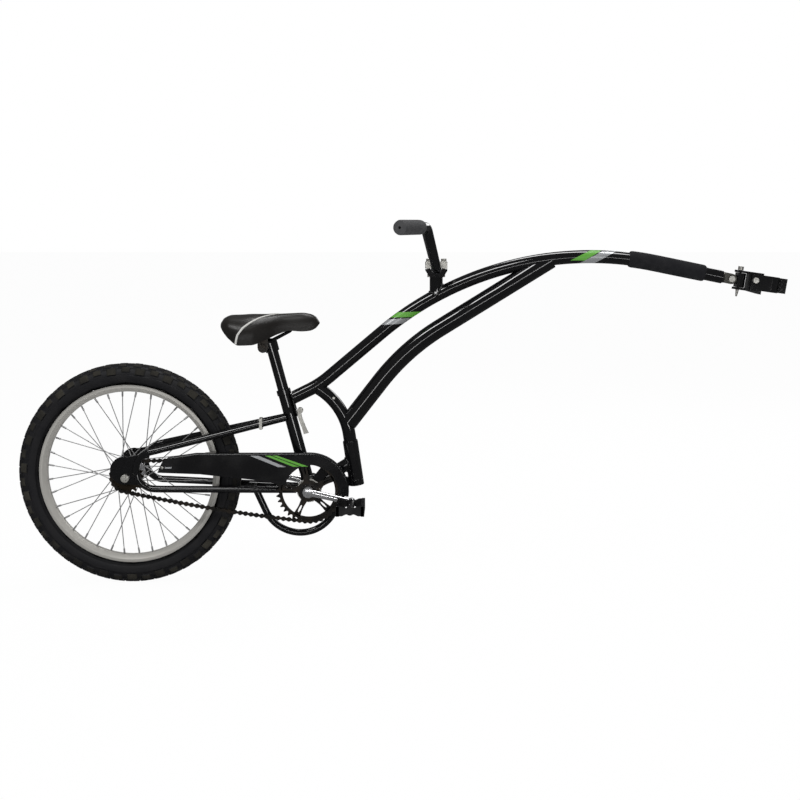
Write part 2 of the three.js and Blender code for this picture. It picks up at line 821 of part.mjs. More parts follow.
// Seat tube with its latch pad and side boss
const bracketCore = across(bracket.x, bracket.z, -bracketHalf, bracketHalf, bracketRadius + seatGap);
const seatBore = seatPostRadius + seatGap;
const seatBoreTool = rod(onSeatTube(0, 0), onSeatTube(seatTubeLength + overrun, 0), seatBore);
const latchPadTop = seatTubeLength - collarHeight - seatGap;
const latchPad = onTubeBox(latchLow, latchPadTop, 0, padFace, -padHalfWidth, padHalfWidth);
const boss = rod(
  onSeatTube(bossAlong, 0, -seatTubeRadius - bossProud), onSeatTube(bossAlong, 0), bossRadius,
);
const skewerHole = rod(
  onSeatTube(skewerAlong, seatTubeRadius + seatGap), onSeatTube(skewerAlong, padFace + overrun),
  skewerRadius + seatGap, 0, thinSides,
);
const seatTube = rod(bracket, onSeatTube(seatTubeLength, 0), seatTubeRadius);
add(
  "seat_tube",
  cut(join(seatTube, latchPad, boss), seatBoreTool, bracketCore, skewerHole),
  paint,
);
const seatCore = rod(
  onSeatTube(-overrun, 0), onSeatTube(seatTubeLength, 0), seatTubeRadius + seatGap,
);
const collarTurn = Math.asin(collarEar / collarRadius);
const collarSlit = Math.asin(clampSplit / seatTubeRadius);
const sideways = Math.PI / 2;
const collarOutline = [
  v2(clampSplit, collarRadius + collarEar),
  v2(collarEar, collarRadius + collarEar),
  ...arc(0, 0, collarRadius, sideways - collarTurn, collarTurn - 3 * sideways, tubeSides),
  v2(-collarEar, collarRadius + collarEar),
  v2(-clampSplit, collarRadius + collarEar),
  ...arc(
    0, 0, seatTubeRadius + seatGap, collarSlit - 3 * sideways, sideways - collarSlit, tubeSides,
  ),
];
const collarFoot = onSeatTube(seatTubeLength - collarHeight, 0);
const collarOptions = { depth: collarHeight, bevelEnabled: false };
const collar = new THREE.ExtrudeGeometry(new THREE.Shape(collarOutline), collarOptions);
collar.rotateY(-seatTubeLean).translate(collarFoot.x, 0, collarFoot.z);
add("seat_collar", collar, paint);

// Link tube and hinge sleeve
const linkEnd = onHinge(linkRise);
const sleeveLow = hingeCapHeight + runGap;
const sleeveHigh = hingeHeight;
const sleeveCore = rod(onHinge(0), onHinge(hingeHeight), sleeveRadius + seatGap);
const linkCore = rod(bracket, linkEnd, linkRadius + seatGap);
add(
  "link_tube",
  cut(rod(bracket, linkEnd, linkRadius, linkRadius - linkWall), bracketCore, sleeveCore, seatCore),
  paint,
);
add(
  "hinge_sleeve",
  rod(
    onHinge(sleeveLow + bushFlange + seatGap), onHinge(sleeveHigh - bushFlange - seatGap),
    sleeveRadius, sleeveBore,
  ),
  paint,
);
const bushProfile = [
  [hingePostRadius + runGap, 0],
  [sleeveRadius, 0],
  [sleeveRadius, bushFlange],
  [sleeveBore - seatGap, bushFlange],
  [sleeveBore - seatGap, bushLength],
  [hingePostRadius + runGap, bushLength],
  [hingePostRadius + runGap, 0],
];
add("hinge_bush_lower", turned(bushProfile, onHinge(sleeveLow), hingeUp), resin);
add(
  "hinge_bush_upper",
  turned(bushProfile, onHinge(sleeveHigh), hingeUp.clone().negate()),
  resin,
);

// Bottom bracket shell and its cups
add(
  "bracket_shell",
  across(
    bracket.x, bracket.z, -bracketHalf, bracketHalf, bracketRadius, bracketRadius - bracketWall,
  ),
  paint,
);
const cupBore = spindleCollar + runGap;
const guardPlateOuter = bracketHalf + seatGap + bracketPlate;
const cupSeats = [["bracket_cup_right", -1, guardPlateOuter], ["bracket_cup_left", 1, bracketHalf]];
for (const [name, side, seat] of cupSeats) {
  const outer = bracketRadius - bracketWall - seatGap;
  const profile = [
    [cupBore, 0],
    [bracketRadius, 0],
    [bracketRadius, cupFlange],
    [outer, cupFlange],
    [outer, cupDepth],
    [outer - cupWall, cupDepth],
    [outer - cupWall, cupFlange],
    [cupBore, cupFlange],
    [cupBore, 0],
  ];
  const place = at(bracket.x, side * (seat + seatGap + cupFlange), bracket.z);
  add(name, turned(profile, place, at(0, -side, 0)), zinc);
}

// Stays: one hairpin tube a side, closing towards the front
const bendCentre = at(bendReach, 0, hubHeight + bendRise);
const lowerRun = at(Math.cos(chainStaySlope), 0, -Math.sin(chainStaySlope));
const bendFoot = at(-stayBend * Math.sin(chainStaySlope), 0, -stayBend * Math.cos(chainStaySlope));
const onLowerStay = (reach) => bendCentre.clone().add(bendFoot).addScaledVector(lowerRun, reach);
const stayPlan = walk(onLowerStay(lowerStayLength), Math.PI - chainStaySlope, [
  { ahead: lowerStayLength - splayStart },
  { ahead: splayStart },
  { turn: seatStaySlope + chainStaySlope - Math.PI, radius: stayBend },
  { ahead: splayStart },
  { ahead: upperStayLength - splayStart },
]);
const stayRoute = (side) =>
  stayPlan.map((p, i) => {
    const first = i === 0;
    const last = i === stayPlan.length - 1;
    const y = first ? lowerSplay : last ? upperSplay : dropoutOffset;
    return at(p.x, side * y, p.z);
  });
const webOutline = arc(
  bendCentre.x, bendCentre.z, stayBend, webFrom, webTo, smallSides,
);
const bridge = onLowerStay(bridgeReach);
const bridgeShare = (bridgeReach - splayStart) / (lowerStayLength - splayStart);
const bridgeHalf = THREE.MathUtils.lerp(dropoutOffset, lowerSplay, bridgeShare);
const tabFront = guardTail + tabHalf + tabHalf * 2;
for (const [name, side] of [["stay_right", -1], ["stay_left", 1]]) {
  const route = stayRoute(side);
  const tube = pipe(route, stayRadius, 0, smallSides);
  const inner = side * (dropoutOffset - stayRadius - seatGap);
  const tab = block(
    guardTail + tabHalf, tabFront, Math.min(inner, inner - side * tabThick),
    Math.max(inner, inner - side * tabThick), bendCentre.z - tabHalf, bendCentre.z + stayBend,
  );
  const tabWeld = block(
    guardTail + tabHalf, tabFront, Math.min(inner, side * dropoutOffset),
    Math.max(inner, side * dropoutOffset), bendCentre.z + stayBend - tabHalf / 2,
    bendCentre.z + stayBend,
  );
  const web = sheet(webOutline, side * dropoutOffset - webThick / 2, side * dropoutOffset + webThick / 2);
  const bore = pipe(route, stayRadius - stayWall, 0, thinSides);
  const welded = side < 0 ? join(tube, tab, tabWeld) : join(tube, web);
  add(name, cut(welded, bore, seatCore, bracketCore), paint);
}
const stayCores = [-1, 1].map((side) => pipe(stayRoute(side), stayRadius + seatGap, 0, smallSides));
add(
  "stay_bridge",
  cut(across(bridge.x, bridge.z, -bridgeHalf, bridgeHalf, stayRadius / 2), ...stayCores),
  paint,
);

// Dropouts
const lobe = at(-dropoutLobeBack, 0, hubHeight + dropoutLobeRise);
const dropoutOutline = [
  ...arc(lobe.x, lobe.z, dropoutLobe, 2 * Math.PI - lobeTurn, lobeTurn, smallSides),
  ...arc(bendCentre.x, bendCentre.z, stayBend, dropoutFrom, dropoutTo, smallSides),
];
const axleHole = across(hub.x, hub.z, -axleHalf - overrun, axleHalf + overrun, axleRadius + seatGap);
for (const [name, side, k] of [["dropout_right", -1, 0], ["dropout_left", 1, 1]]) {
  const middle = side * dropoutOffset;
  const plate = sheet(dropoutOutline, middle - dropoutThick / 2, middle + dropoutThick / 2);
  add(name, cut(plate, stayCores[k], axleHole), paint);
}

// Tube loop under the chainring
const loopStart = bridge.clone();
const loopSpan = hingeFoot.x - loopStop - bridge.x;
const loopLegs = (loopLeg + loopFarLeg) * Math.cos(loopSlope);
const loopBend = (loopSpan - loopLegs) / (2 * Math.sin(loopSlope));
const loopRoute = walk(loopStart, -loopSlope, [
  { ahead: loopLeg },
  { turn: 2 * loopSlope, radius: loopBend },
  { ahead: loopFarLeg },
]);
const bridgeCore = across(bridge.x, bridge.z, -bridgeHalf, bridgeHalf, stayRadius / 2 + seatGap);
const loopPipe = pipe(loopRoute, loopRadius, loopRadius - stayWall, smallSides);
const capCore = rod(onHinge(-overrun), onHinge(sleeveLow), sleeveRadius + 2 * runGap);
add("guard_loop", cut(loopPipe, bridgeCore, sleeveCore, linkCore, capCore), paint);

// Rear axle with its cones and nuts
const nutInner = dropoutOffset + dropoutThick / 2 + seatGap;
const coneOuter = dropoutOffset - dropoutThick / 2 - seatGap;
const coneInner = freewheelFront - coneLap;
const axleHalfProfile = (s) => [
  [0, s * axleHalf],
  [axleRadius, s * axleHalf],
  [axleRadius, s * (nutInner + nutWidth)],
  [nutRadius, s * (nutInner + nutWidth)],
  [nutRadius, s * nutInner],
  [axleRadius, s * nutInner],
  [axleRadius, s * coneOuter],
  [coneRadius, s * coneOuter],
  [coneRadius, s * coneInner],
  [axleRadius, s * coneInner],
];
const axleProfile = [...axleHalfProfile(1), ...axleHalfProfile(-1).reverse()];
add("rear_axle", turned(axleProfile, hub, yAxis, smallSides), zinc);

// Chain: two side plate bands round both sprockets, joined by pins on the straight runs
const pitchRadius = (teeth) => chainPitch / (2 * Math.sin(Math.PI / teeth));
const cogPitch = pitchRadius(cogTeeth);
const ringPitch = pitchRadius(ringTeeth);
const centres = v2(bracket.x - hub.x, bracket.z - hub.z);
const wrap = Math.acos((cogPitch - ringPitch) / centres.length());
const lean = centres.angle();
function onRun(side, share, offset) {
  const normal = v2(Math.cos(lean + side * wrap), Math.sin(lean + side * wrap));
  const start = v2(hub.x, hub.z).addScaledVector(normal, cogPitch + offset);
  const end = v2(bracket.x, bracket.z).addScaledVector(normal, ringPitch + offset);
  const sag = side < 0 ? 4 * chainSag * share * (1 - share) : 0;
  return start.lerp(end, share).sub(v2(0, sag));
}
function band(offset) {
  const inner = Array.from({ length: sagSteps - 1 }, (_, i) => (i + 1) / sagSteps);
  return [
    ...arc(hub.x, hub.z, cogPitch + offset, lean + wrap, lean + 2 * Math.PI - wrap, chainArcSteps),
    ...inner.map((share) => onRun(-1, share, offset)),
    ...arc(
      bracket.x, bracket.z, ringPitch + offset, lean - wrap, lean + wrap, chainArcSteps * 2,
    ),
  ];
}
const bandShape = () => {
  const shape = new THREE.Shape(band(plateHeight));
  shape.holes.push(new THREE.Path(band(-plateHeight)));
  return shape;
};
const outerBand = sheet(bandShape(), -chainLine - plateInner - plateGauge, -chainLine - plateInner);
const innerBand = sheet(bandShape(), -chainLine + plateInner, -chainLine + plateInner + plateGauge);
const chainPins = [];
for (const side of [1, -1])
  for (let i = 1; i <= pinsPerRun; i++) {
    const place = onRun(side, i / (pinsPerRun + 1), 0);
    const reach = plateInner + plateGauge / 2;
    chainPins.push(
      across(place.x, place.y, -chainLine - reach, -chainLine + reach, rollerRadius, 0, thinSides),
    );
  }
add("chain", join(outerBand, innerBand, ...chainPins), resin);

// Chain guard: a pressed sheet with a flange along its top
const innerX = bracket.x + guardInnerAhead;
const guardX = bracket.x + guardAhead;
const guardEdge = [
  v2(guardTailTop, hubHeight + guardTopRise),
  v2(guardShoulder, hubHeight + guardShoulderRise),
  ...arc(guardX, bracket.z, guardRadius, Math.PI / 2, guardEnd, tubeSides),
];
const guardBody = [
  v2(guardTail, hubHeight + guardTipRise),
  v2(guardTail + guardFlange, hubHeight + guardTopRise - guardFlange),
  ...guardEdge,
  ...arc(innerX, bracket.z, guardInner, guardEnd, guardInnerEnd, tubeSides),
  v2(guardMidReach, hubHeight + guardMidRise),
  v2(guardLowReach, hubHeight + guardLowRise),
];
const flangeStrip = [
  ...guardEdge,
  ...arc(guardX, bracket.z, guardRadius - guardSheet, guardEnd, Math.PI / 2, tubeSides),
  v2(guardShoulder, hubHeight + guardShoulderRise - guardSheet),
  v2(guardTailTop, hubHeight + guardTopRise - guardSheet),
];
add(
  "chain_guard",
  join(
    sheet(guardBody, -guardFace - guardSheet, -guardFace),
    sheet(flangeStrip, -guardFace - guardSheet, -guardFace + guardFlange),
  ),
  resin,
);
const plateSide = [-guardPlateOuter, -bracketHalf - seatGap];
const bracketEye = across(0, 0, ...plateSide, bracketRadius);
const bracketArm = block(
  0, bracketLegOuter, ...plateSide, -bracketPlateHalf, bracketPlateHalf,
);
const bracketLeg = block(
  bracketLegInner, bracketLegOuter, -guardFace + seatGap, plateSide[1], -bracketPlateHalf,
  bracketPlateHalf,
);
const cupHole = across(0, 0, -overrun - bracketHalf, 0, bracketRadius - bracketWall + runGap);
const guardBracket = cut(join(bracketEye, bracketArm, bracketLeg), cupHole);
const bracketPlace = (g) => g.rotateY(-bracketPlateAngle).translate(bracket.x, 0, bracket.z);
add("guard_bracket", bracketPlace(guardBracket), paint);

// Flag clip on the right seat stay
const clipPlace = stayRoute(-1).at(-1).clone().lerp(stayRoute(-1).at(-2), clipShare);
const clipSize = railRadius * 2;
add(
  "flag_clip",
  cut(
    block(
      clipPlace.x - clipSize / 2, clipPlace.x + clipSize / 2, clipPlace.y - stayRadius - railRadius,
      clipPlace.y + stayRadius, clipPlace.z - stayRadius - railRadius,
      clipPlace.z + stayRadius + clipSize,
    ),
    ...stayCores,
  ),
  zinc,
);

// Latch skewer with its eye, and the cam lever
const camAhead = latchFront + camGap + camRadius;
const camCentre = onSeatTube(skewerAlong, camAhead);
add(
  "latch_skewer",
  join(
    rod(
      onSeatTube(skewerAlong, seatTubeRadius + seatGap * 2), onSeatTube(skewerAlong, camAhead),
      skewerRadius, 0, thinSides,
    ),
    across(camCentre.x, camCentre.z, -camEyeHalf, camEyeHalf, camEyeRadius, 0, smallSides),
    across(camCentre.x, camCentre.z, -camHalfWidth, camHalfWidth, camPin, 0, thinSides),
  ),
  zinc,
);
const camCheeks = across(
  camCentre.x, camCentre.z, -camHalfWidth, camHalfWidth, camRadius, 0, smallSides,
);
const camSlot = onTubeBox(
  skewerAlong - camRadius - runGap, skewerAlong + overrun, 0, camAhead + overrun,
  -camEyeHalf - runGap, camEyeHalf + runGap,
);
const onLever = (drop, back) => {
  const p = onSeatTube(skewerAlong - drop, camAhead - back);
  return v2(p.x, p.z);
};
const tipShare = (leverLength - leverTip - leverDrop) / (leverLength - leverDrop);
const waist = THREE.MathUtils.lerp(leverSet, leverTipSet, tipShare);
const bladeStations = [
  [leverDrop, leverSet, leverWidth / 2],
  [leverLength - leverTip, waist, leverWidth / 2],
  [leverLength, leverTipSet, leverTipWidth / 2],
];
const bladeOutline = [
  ...bladeStations.map(([drop, back, half]) => onLever(drop, back + half)),
  ...bladeStations.map(([drop, back, half]) => onLever(drop, back - half)).reverse(),
];
const leverBlade = sheet(bladeOutline, -leverThick / 2, leverThick / 2);
const leverRoot = onTubeBox(
  skewerAlong - camRadius * 2, skewerAlong - camEyeRadius, latchFront + camGap, camAhead,
  -camHalfWidth, camHalfWidth,
);
const camPinHole = across(
  camCentre.x, camCentre.z, -overrun, overrun, camPin + seatGap, 0, thinSides,
);
add("latch_lever", cut(join(camCheeks, leverBlade, leverRoot), camSlot, camPinHole), zinc);

// Wheel
const wheel = new THREE.Group();
wheel.position.copy(hub);
bench.add(wheel);
const hubHalf = (s) => [
  [axleRadius + runGap, s * hubBossEnd],
  [hubBossRadius, s * hubBossEnd],
  [hubBossRadius, s * (flangeOffset + flangeHalfWidth)],
  [flangeRadius, s * (flangeOffset + flangeHalfWidth)],
  [flangeRadius, s * (flangeOffset - flangeHalfWidth)],
  [hubBarrel, s * (flangeOffset - flangeHalfWidth)],
];
const hubOutline = [...hubHalf(-1), ...hubHalf(1).reverse(), hubHalf(-1)[0]];
add("hub_shell", turned(hubOutline, at(0, 0, 0), yAxis, tubeSides), chrome, wheel);

const rimBed = rimRadius - rimDepth + rimWall;
const toValve = at(Math.sin(valveTurn), 0, -Math.cos(valveTurn));
const onValve = (radius) => toValve.clone().multiplyScalar(radius);
const valveHole = rod(
  onValve(rimRadius - rimDepth - overrun), onValve(rimRadius), valveRadius + seatGap, 0, thinSides,
);
const rimHalf = (s) => [
  [rimRadius - rimDepth, s * rimInnerHalf],
  [rimRadius - rimDepth + rimShoulder, s * rimHalfWidth],
  [rimRadius, s * rimHalfWidth],
  [rimRadius, s * (rimHalfWidth - rimWall)],
  [rimBed + rimShoulder - rimWall / 2, s * (rimHalfWidth - rimWall)],
  [rimBed, s * (rimInnerHalf - rimWall / 2)],
];
const rimProfile = [...rimHalf(-1), ...rimHalf(1).reverse(), rimHalf(-1)[0]];
add(
  "rim",
  cut(turned(rimProfile, at(0, 0, 0), yAxis, wheelSegments), valveHole),
  greyPaint,
  wheel,
);

// The tyre's section: outside from one bead over the crown, then back along the inside
const beadRadius = rimRadius - beadDepth;
const beadOuter = rimHalfWidth - rimWall - seatGap;
const tyreHeight = tyreSection;
const outsideShares = [
  [0.04, 0.66],
  [0.24, 0.92],
  [0.5, 1],
  [0.8, 0.84],
  [1, 0.3],
];
const outerHalf = outsideShares.map(([rise, width]) => [
  rimRadius + seatGap + rise * (tyreHeight - seatGap),
  Math.max(width * tyreHalfWidth, 0),
]);
const innerHalf = [
  [rimRadius + seatGap, beadOuter - beadWidth],
  ...outsideShares.map(([rise, width]) => [
    rimRadius + rise * (tyreHeight - tyreWall) + seatGap,
    width * (tyreHalfWidth - tyreWall),
  ]),
];
const mirrored = (list) => list.map(([r, y]) => [r, -y]);
const beadSide = [
  [beadRadius, beadOuter - beadWidth],
  [beadRadius, beadOuter],
  [rimRadius + seatGap, beadOuter],
];
const tyreProfile = [
  ...beadSide,
  ...outerHalf,
  ...mirrored(outerHalf).reverse(),
  ...mirrored(beadSide).reverse(),
  ...mirrored(innerHalf),
  ...[...innerHalf].reverse(),
  beadSide[0],
];
add("tyre", turned(tyreProfile, at(0, 0, 0), yAxis, wheelSegments), rubber, wheel);

// Inner tube with its valve
const airMiddle = rimRadius + (tyreHeight - tyreWall) * airShare;
const airSection = (shrink) => {
  const oval = circle(1, thinSides).map((p) => [
    airMiddle + p.x * (airRadius - shrink),
    p.y * (airHalfWidth - shrink),
  ]);
  return [...oval, oval[0]];
};
const airTube = turned(airSection(0), at(0, 0, 0), yAxis, airSegments);
const airInside = turned(airSection(airWall), at(0, 0, 0), yAxis, airSegments);
const valveFoot = rimRadius - rimDepth - valveReach;
const valveTop = airMiddle - airRadius + airWall * 2;
add(
  "inner_tube",
  cut(
    join(airTube, rod(onValve(valveFoot), onValve(valveTop), valveRadius, 0, thinSides)),
    airInside,
    rod(onValve(valveFoot - airWall), onValve(airMiddle), valveBore, 0, thinSides),
  ),
  rubber,
  wheel,
);

// Spokes: on each side half run ahead of their flange hole and half run behind it
const spokeStep = (2 * Math.PI) / spokesPerSide;
const spokeFlange = flangeOffset + flangeHalfWidth + spokeElbow;
const spokeEnd = rimRadius - rimDepth - seatGap - nippleRadius / 2;
function spokes(side) {
  const made = [];
  for (let i = 0; i < spokesPerSide; i++) {
    const phase = spokePhase + (side > 0 ? spokeStep / 2 : 0);
    const hubAngle = phase + i * spokeStep;
    const rimAngle = hubAngle + (i % 2 ? -1 : 1) * spokeTurnHoles * spokeStep;
    const start = at(
      spokeCircle * Math.cos(hubAngle), side * spokeFlange, spokeCircle * Math.sin(hubAngle),
    );
    const end = at(
      spokeEnd * Math.cos(rimAngle), side * nippleHalfSpread, spokeEnd * Math.sin(rimAngle),
    );
    const whole = start.distanceTo(end);
    const profile = [
      [0, 0],
      [spokeRadius, 0],
      [spokeRadius, whole - nippleLength],
      [nippleRadius, whole - nippleLength],
      [nippleRadius, whole],
      [0, whole],
    ];
    made.push(turned(profile, start, end.sub(start), spokeSides));
  }
  return join(...made);
}
add("spokes_right", spokes(-1), chrome, wheel);
add("spokes_left", spokes(1), chrome, wheel);

// Sprockets: an outline with one tooth at each pitch
const toothShares = [[-0.14, 1], [0.14, 1], [0.5, -1]];
const toothed = (teeth) =>
  Array.from({ length: teeth }, (_, i) =>
    toothShares.map(([share, rise]) => {
      const angle = (2 * Math.PI * (i + share)) / teeth;
      const radius = pitchRadius(teeth) + rise * toothHeight;
      return v2(radius * Math.cos(angle), radius * Math.sin(angle));
    }),
  ).flat();
const cogGroup = new THREE.Group();
cogGroup.position.copy(hub);
bench.add(cogGroup);
const cogBody = across(0, 0, -freewheelFront, -freewheelBack, freewheelRadius);
const cogDisc = sheet(toothed(cogTeeth), -chainLine - cogThick / 2, -chainLine + cogThick / 2);
const cogBore = across(0, 0, -overrun - freewheelFront, 0, hubBossRadius + runGap);
add("rear_cog", cut(join(cogBody, cogDisc), cogBore), zinc, cogGroup);

// Crank: one forging of two arms and the spindle, with both pedal spindles
const crank = new THREE.Group();
crank.position.copy(bracket);
bench.add(crank);
const eye = (side) =>
  at(
    side * crankLength * Math.cos(crankDrop), 0, -side * crankLength * Math.sin(crankDrop),
  );
function arm(side) {
  const end = eye(-side);
  const y0 = side < 0 ? -crankInner - crankThick : crankInner;
  const y1 = y0 + crankThick;
  const direction = Math.atan2(end.z, end.x);
  const outline = [
    ...arc(
      0, 0, crankBossRadius, direction + bossTurn, direction + 2 * Math.PI - bossTurn, thinSides,
    ),
    ...arc(
      end.x, end.z, crankEyeRadius, direction - Math.PI / 2, direction + Math.PI / 2, thinSides,
    ),
  ];
  return sheet(outline, y0, y1);
}
const pedalStart = crankInner + crankThick;
const pedalEnd = pedalStart + pedalInset + 2 * pedalHalfWidth;
const pedalPin = (side) =>
  across(
    eye(-side).x, eye(-side).z, side * (pedalStart - crankThick / 2), side * pedalEnd,
    pedalSpindle, 0, smallSides,
  );
add(
  "crank_arms",
  join(
    across(0, 0, -crankInner - crankThick / 2, crankInner + crankThick / 2, spindleRadius),
    across(0, 0, -crankInner - crankThick / 2, -collarBack, spindleCollar),
    across(0, 0, collarBack, crankInner + crankThick / 2, spindleCollar),
    arm(-1),
    arm(1),
    pedalPin(-1),
    pedalPin(1),
  ),
  chrome,
  crank,
);
const ringShape = new THREE.Shape(toothed(ringTeeth));
ringShape.holes.push(new THREE.Path(circle(spindleCollar + seatGap, tubeSides)));
for (let i = 0; i < ringArms; i++) {
  const from = ringArmPhase + (i * 2 * Math.PI) / ringArms + ringArmHalfAngle;
  const to = ringArmPhase + ((i + 1) * 2 * Math.PI) / ringArms - ringArmHalfAngle;
  ringShape.holes.push(
    new THREE.Path([
      ...arc(0, 0, ringHoleInner, from, to, thinSides / 2),
      ...arc(0, 0, ringHoleOuter, to, from, thinSides),
    ]),
  );
}
add(
  "chainring",
  sheet(ringShape, -chainLine - cogThick / 2, -chainLine + cogThick / 2),
  resin,
  crank,
);

// Pedals: a barrel between two windows
function pedal(side) {
  const middle = side * (pedalStart + pedalInset + pedalHalfWidth);
  const [x, y, c] = [pedalHalfLength, pedalHalfWidth, pedalCorner];
  const outline = new THREE.Shape([
    v2(c - x, -y), v2(x - c, -y), v2(x, c - y), v2(x, y - c), v2(x - c, y), v2(c - x, y),
    v2(-x, y - c), v2(-x, c - y),
  ]);
  const options = { depth: pedalThick, bevelEnabled: false };
  const body = new THREE.ExtrudeGeometry(outline, options);
  body.translate(0, middle, -pedalThick / 2);
  const windowHalf = y - pedalBar;
  const windows = [[-x + pedalBar, -pedalBarrel], [pedalBarrel, x - pedalBar]].map(([x0, x1]) =>
    block(x0, x1, middle - windowHalf, middle + windowHalf, -pedalThick, pedalThick),
  );
  const reach = y + overrun;
  const bore = across(0, 0, middle - reach, middle + reach, pedalSpindle + runGap, 0, smallSides);
  return cut(body, ...windows, bore);
}
for (const [name, side] of [["pedal_right", -1], ["pedal_left", 1]]) {
  const holder = new THREE.Group();
  holder.position.copy(bracket).add(eye(-side));
  bench.add(holder);
  add(name, pedal(side), resin, holder);
}

// Seat post and the fixed base of the saddle clamp
const postFoot = seatTubeLength - seatPostInside;
const postTop = seatTubeLength + seatClampRise + headHeight / 2;
add(
  "seat_post",
  rod(
    onSeatTube(postFoot, 0), onSeatTube(postTop - seatGap, 0), seatPostRadius,
    seatPostRadius - seatPostWall,
  ),
  paint,
);
const barrel = onSeatTube(seatTubeLength + seatClampRise, 0).add(at(-barrelBack, 0, -barrelDrop));
const clampHead = rod(onSeatTube(postTop - headHeight, 0), onSeatTube(postTop, 0), headRadius);
const barrelBody = across(barrel.x, barrel.z, -barrelHalf, barrelHalf, barrelRadius);
const postCore = rod(onSeatTube(0, 0), onSeatTube(postTop + overrun, 0), seatPostRadius + seatGap);
const barrelHole = across(
  barrel.x, barrel.z, -overrun, overrun, clampBoltRadius + seatGap, 0, smallSides,
);
add("saddle_clamp_base", cut(join(clampHead, barrelBody), postCore, barrelHole), paint);

// Saddle rails, one bent rod whose two legs meet at the nose
const railZ = barrel.z + railRise;
const shellLow = barrel.z + saddleDeck - seatGap - shellThick;
const railTop = shellLow - seatGap - railRadius;
const railLeg = (side) => [
  at(barrel.x - railBack, side * railHalfSpan, railTop),
  at(barrel.x - railFlatBack, side * railHalfSpan, railZ),
  at(barrel.x + railFlatFront, side * railHalfSpan, railZ),
  at(barrel.x + railFront, side * railNoseSpan, railTop),
];
const railCorners = [...railLeg(-1), ...railLeg(1).reverse()];
const railPath = bend(railCorners, railBend / 2);
add("saddle_rails", pipe(railPath, railRadius, 0, thinSides), paint);
const railCore = pipe(railPath, railRadius + seatGap, 0, thinSides);

// The cross bolt with its nuts and the two cheeks that hold the rails
const cheekInner = barrelHalf + seatGap;
const cheek = (side) => {
  const y0 = side < 0 ? -cheekInner - cheekWidth : cheekInner;
  return join(
    across(barrel.x, barrel.z, y0, y0 + cheekWidth, barrelRadius),
    block(
      barrel.x - barrelRadius, barrel.x + barrelRadius, y0, y0 + cheekWidth, barrel.z,
      barrel.z + cheekTop,
    ),
  );
};
const nutFrom = cheekInner + cheekWidth / 2;
const nut = (side) =>
  across(
    barrel.x, barrel.z, side * nutFrom, side * (cheekInner + cheekWidth + clampNutWidth),
    clampNutRadius, 0, smallSides,
  );
add(
  "saddle_clamp",
  cut(
    join(
      cheek(-1),
      cheek(1),
      across(barrel.x, barrel.z, -nutFrom, nutFrom, clampBoltRadius, 0, smallSides),
      nut(-1),
      nut(1),
    ),
    railCore,
  ),
  resin,
);

// Saddle cover: along its length, the shares of half width, of top height and of skirt height
const saddleShares = [
  [0, 0.42, 0.77, 0.62],
  [0.03, 0.66, 0.885, 0.51],
  [0.1, 0.9, 0.96, 0.3],
  [0.2, 1, 0.97, 0.115],
  [0.32, 0.93, 0.99, 0.12],
  [0.45, 0.69, 0.99, 0.24],
  [0.58, 0.47, 1, 0.41],
  [0.7, 0.35, 1.015, 0.51],
  [0.82, 0.3, 1.03, 0.485],
  [0.91, 0.25, 1.01, 0.49],
  [0.97, 0.17, 0.92, 0.56],
  [1, 0.07, 0.79, 0.68],
];
const crownSteps = 7;
const crownPowerShare = 0.77;
const drawnInShare = 0.1;
const pocketShare = 0.82;
const pocketTaperShare = 0.98;
const pocketWidthShare = 0.2; // narrower rings of the cover have no pocket
const pocketDepth = 1.2; // nor have rings with less room for it than this
const shellShare = 0.74;
const saddleX = (share) => barrel.x - saddleTail + share * saddleLength;
const saddleRing = ([along, width, top, skirt]) => {
  const half = width * saddleHalfWidth;
  const high = barrel.z + top * saddleTop;
  const low = barrel.z + skirt * saddleTop;
  const deck = Math.max(Math.min(barrel.z + saddleDeck, high - shellThick), low + seatGap);
  const open = width > pocketWidthShare && along > 0 && deck > low + pocketDepth;
  const side = [];
  for (let i = 1; i <= crownSteps; i++) {
    const angle = (Math.PI / 2) * (i / crownSteps);
    const out = half * Math.sin(angle) ** crownPowerShare * (1 - drawnInShare * (i / crownSteps) ** 3);
    side.push([out, low + (high - low) * Math.cos(angle) ** crownPowerShare]);
  }
  const inside = half * pocketShare;
  side.push([inside, low], [inside * pocketTaperShare, open ? deck : low + seatGap]);
  const x = saddleX(along);
  const flip = ([y, z]) => at(x, -y, z);
  return [
    at(x, 0, high),
    ...side.map(([y, z]) => at(x, y, z)),
    at(x, 0, open ? deck : low + seatGap),
    ...side.map(flip).reverse(),
  ];
};
add("saddle_cover", loft(saddleShares.map(saddleRing)), vinyl);
const shellStations = saddleShares.slice(2, -2);
const shellPlan = [
  ...shellStations.map(([along, width]) => v2(saddleX(along), width * shellShare * saddleHalfWidth)),
  ...shellStations
    .map(([along, width]) => v2(saddleX(along), -width * shellShare * saddleHalfWidth))
    .reverse(),
];
const shellOptions = { depth: shellThick, bevelEnabled: false };
const shell = new THREE.ExtrudeGeometry(new THREE.Shape(shellPlan), shellOptions);
add("saddle_shell", shell.translate(0, 0, shellLow), resin);

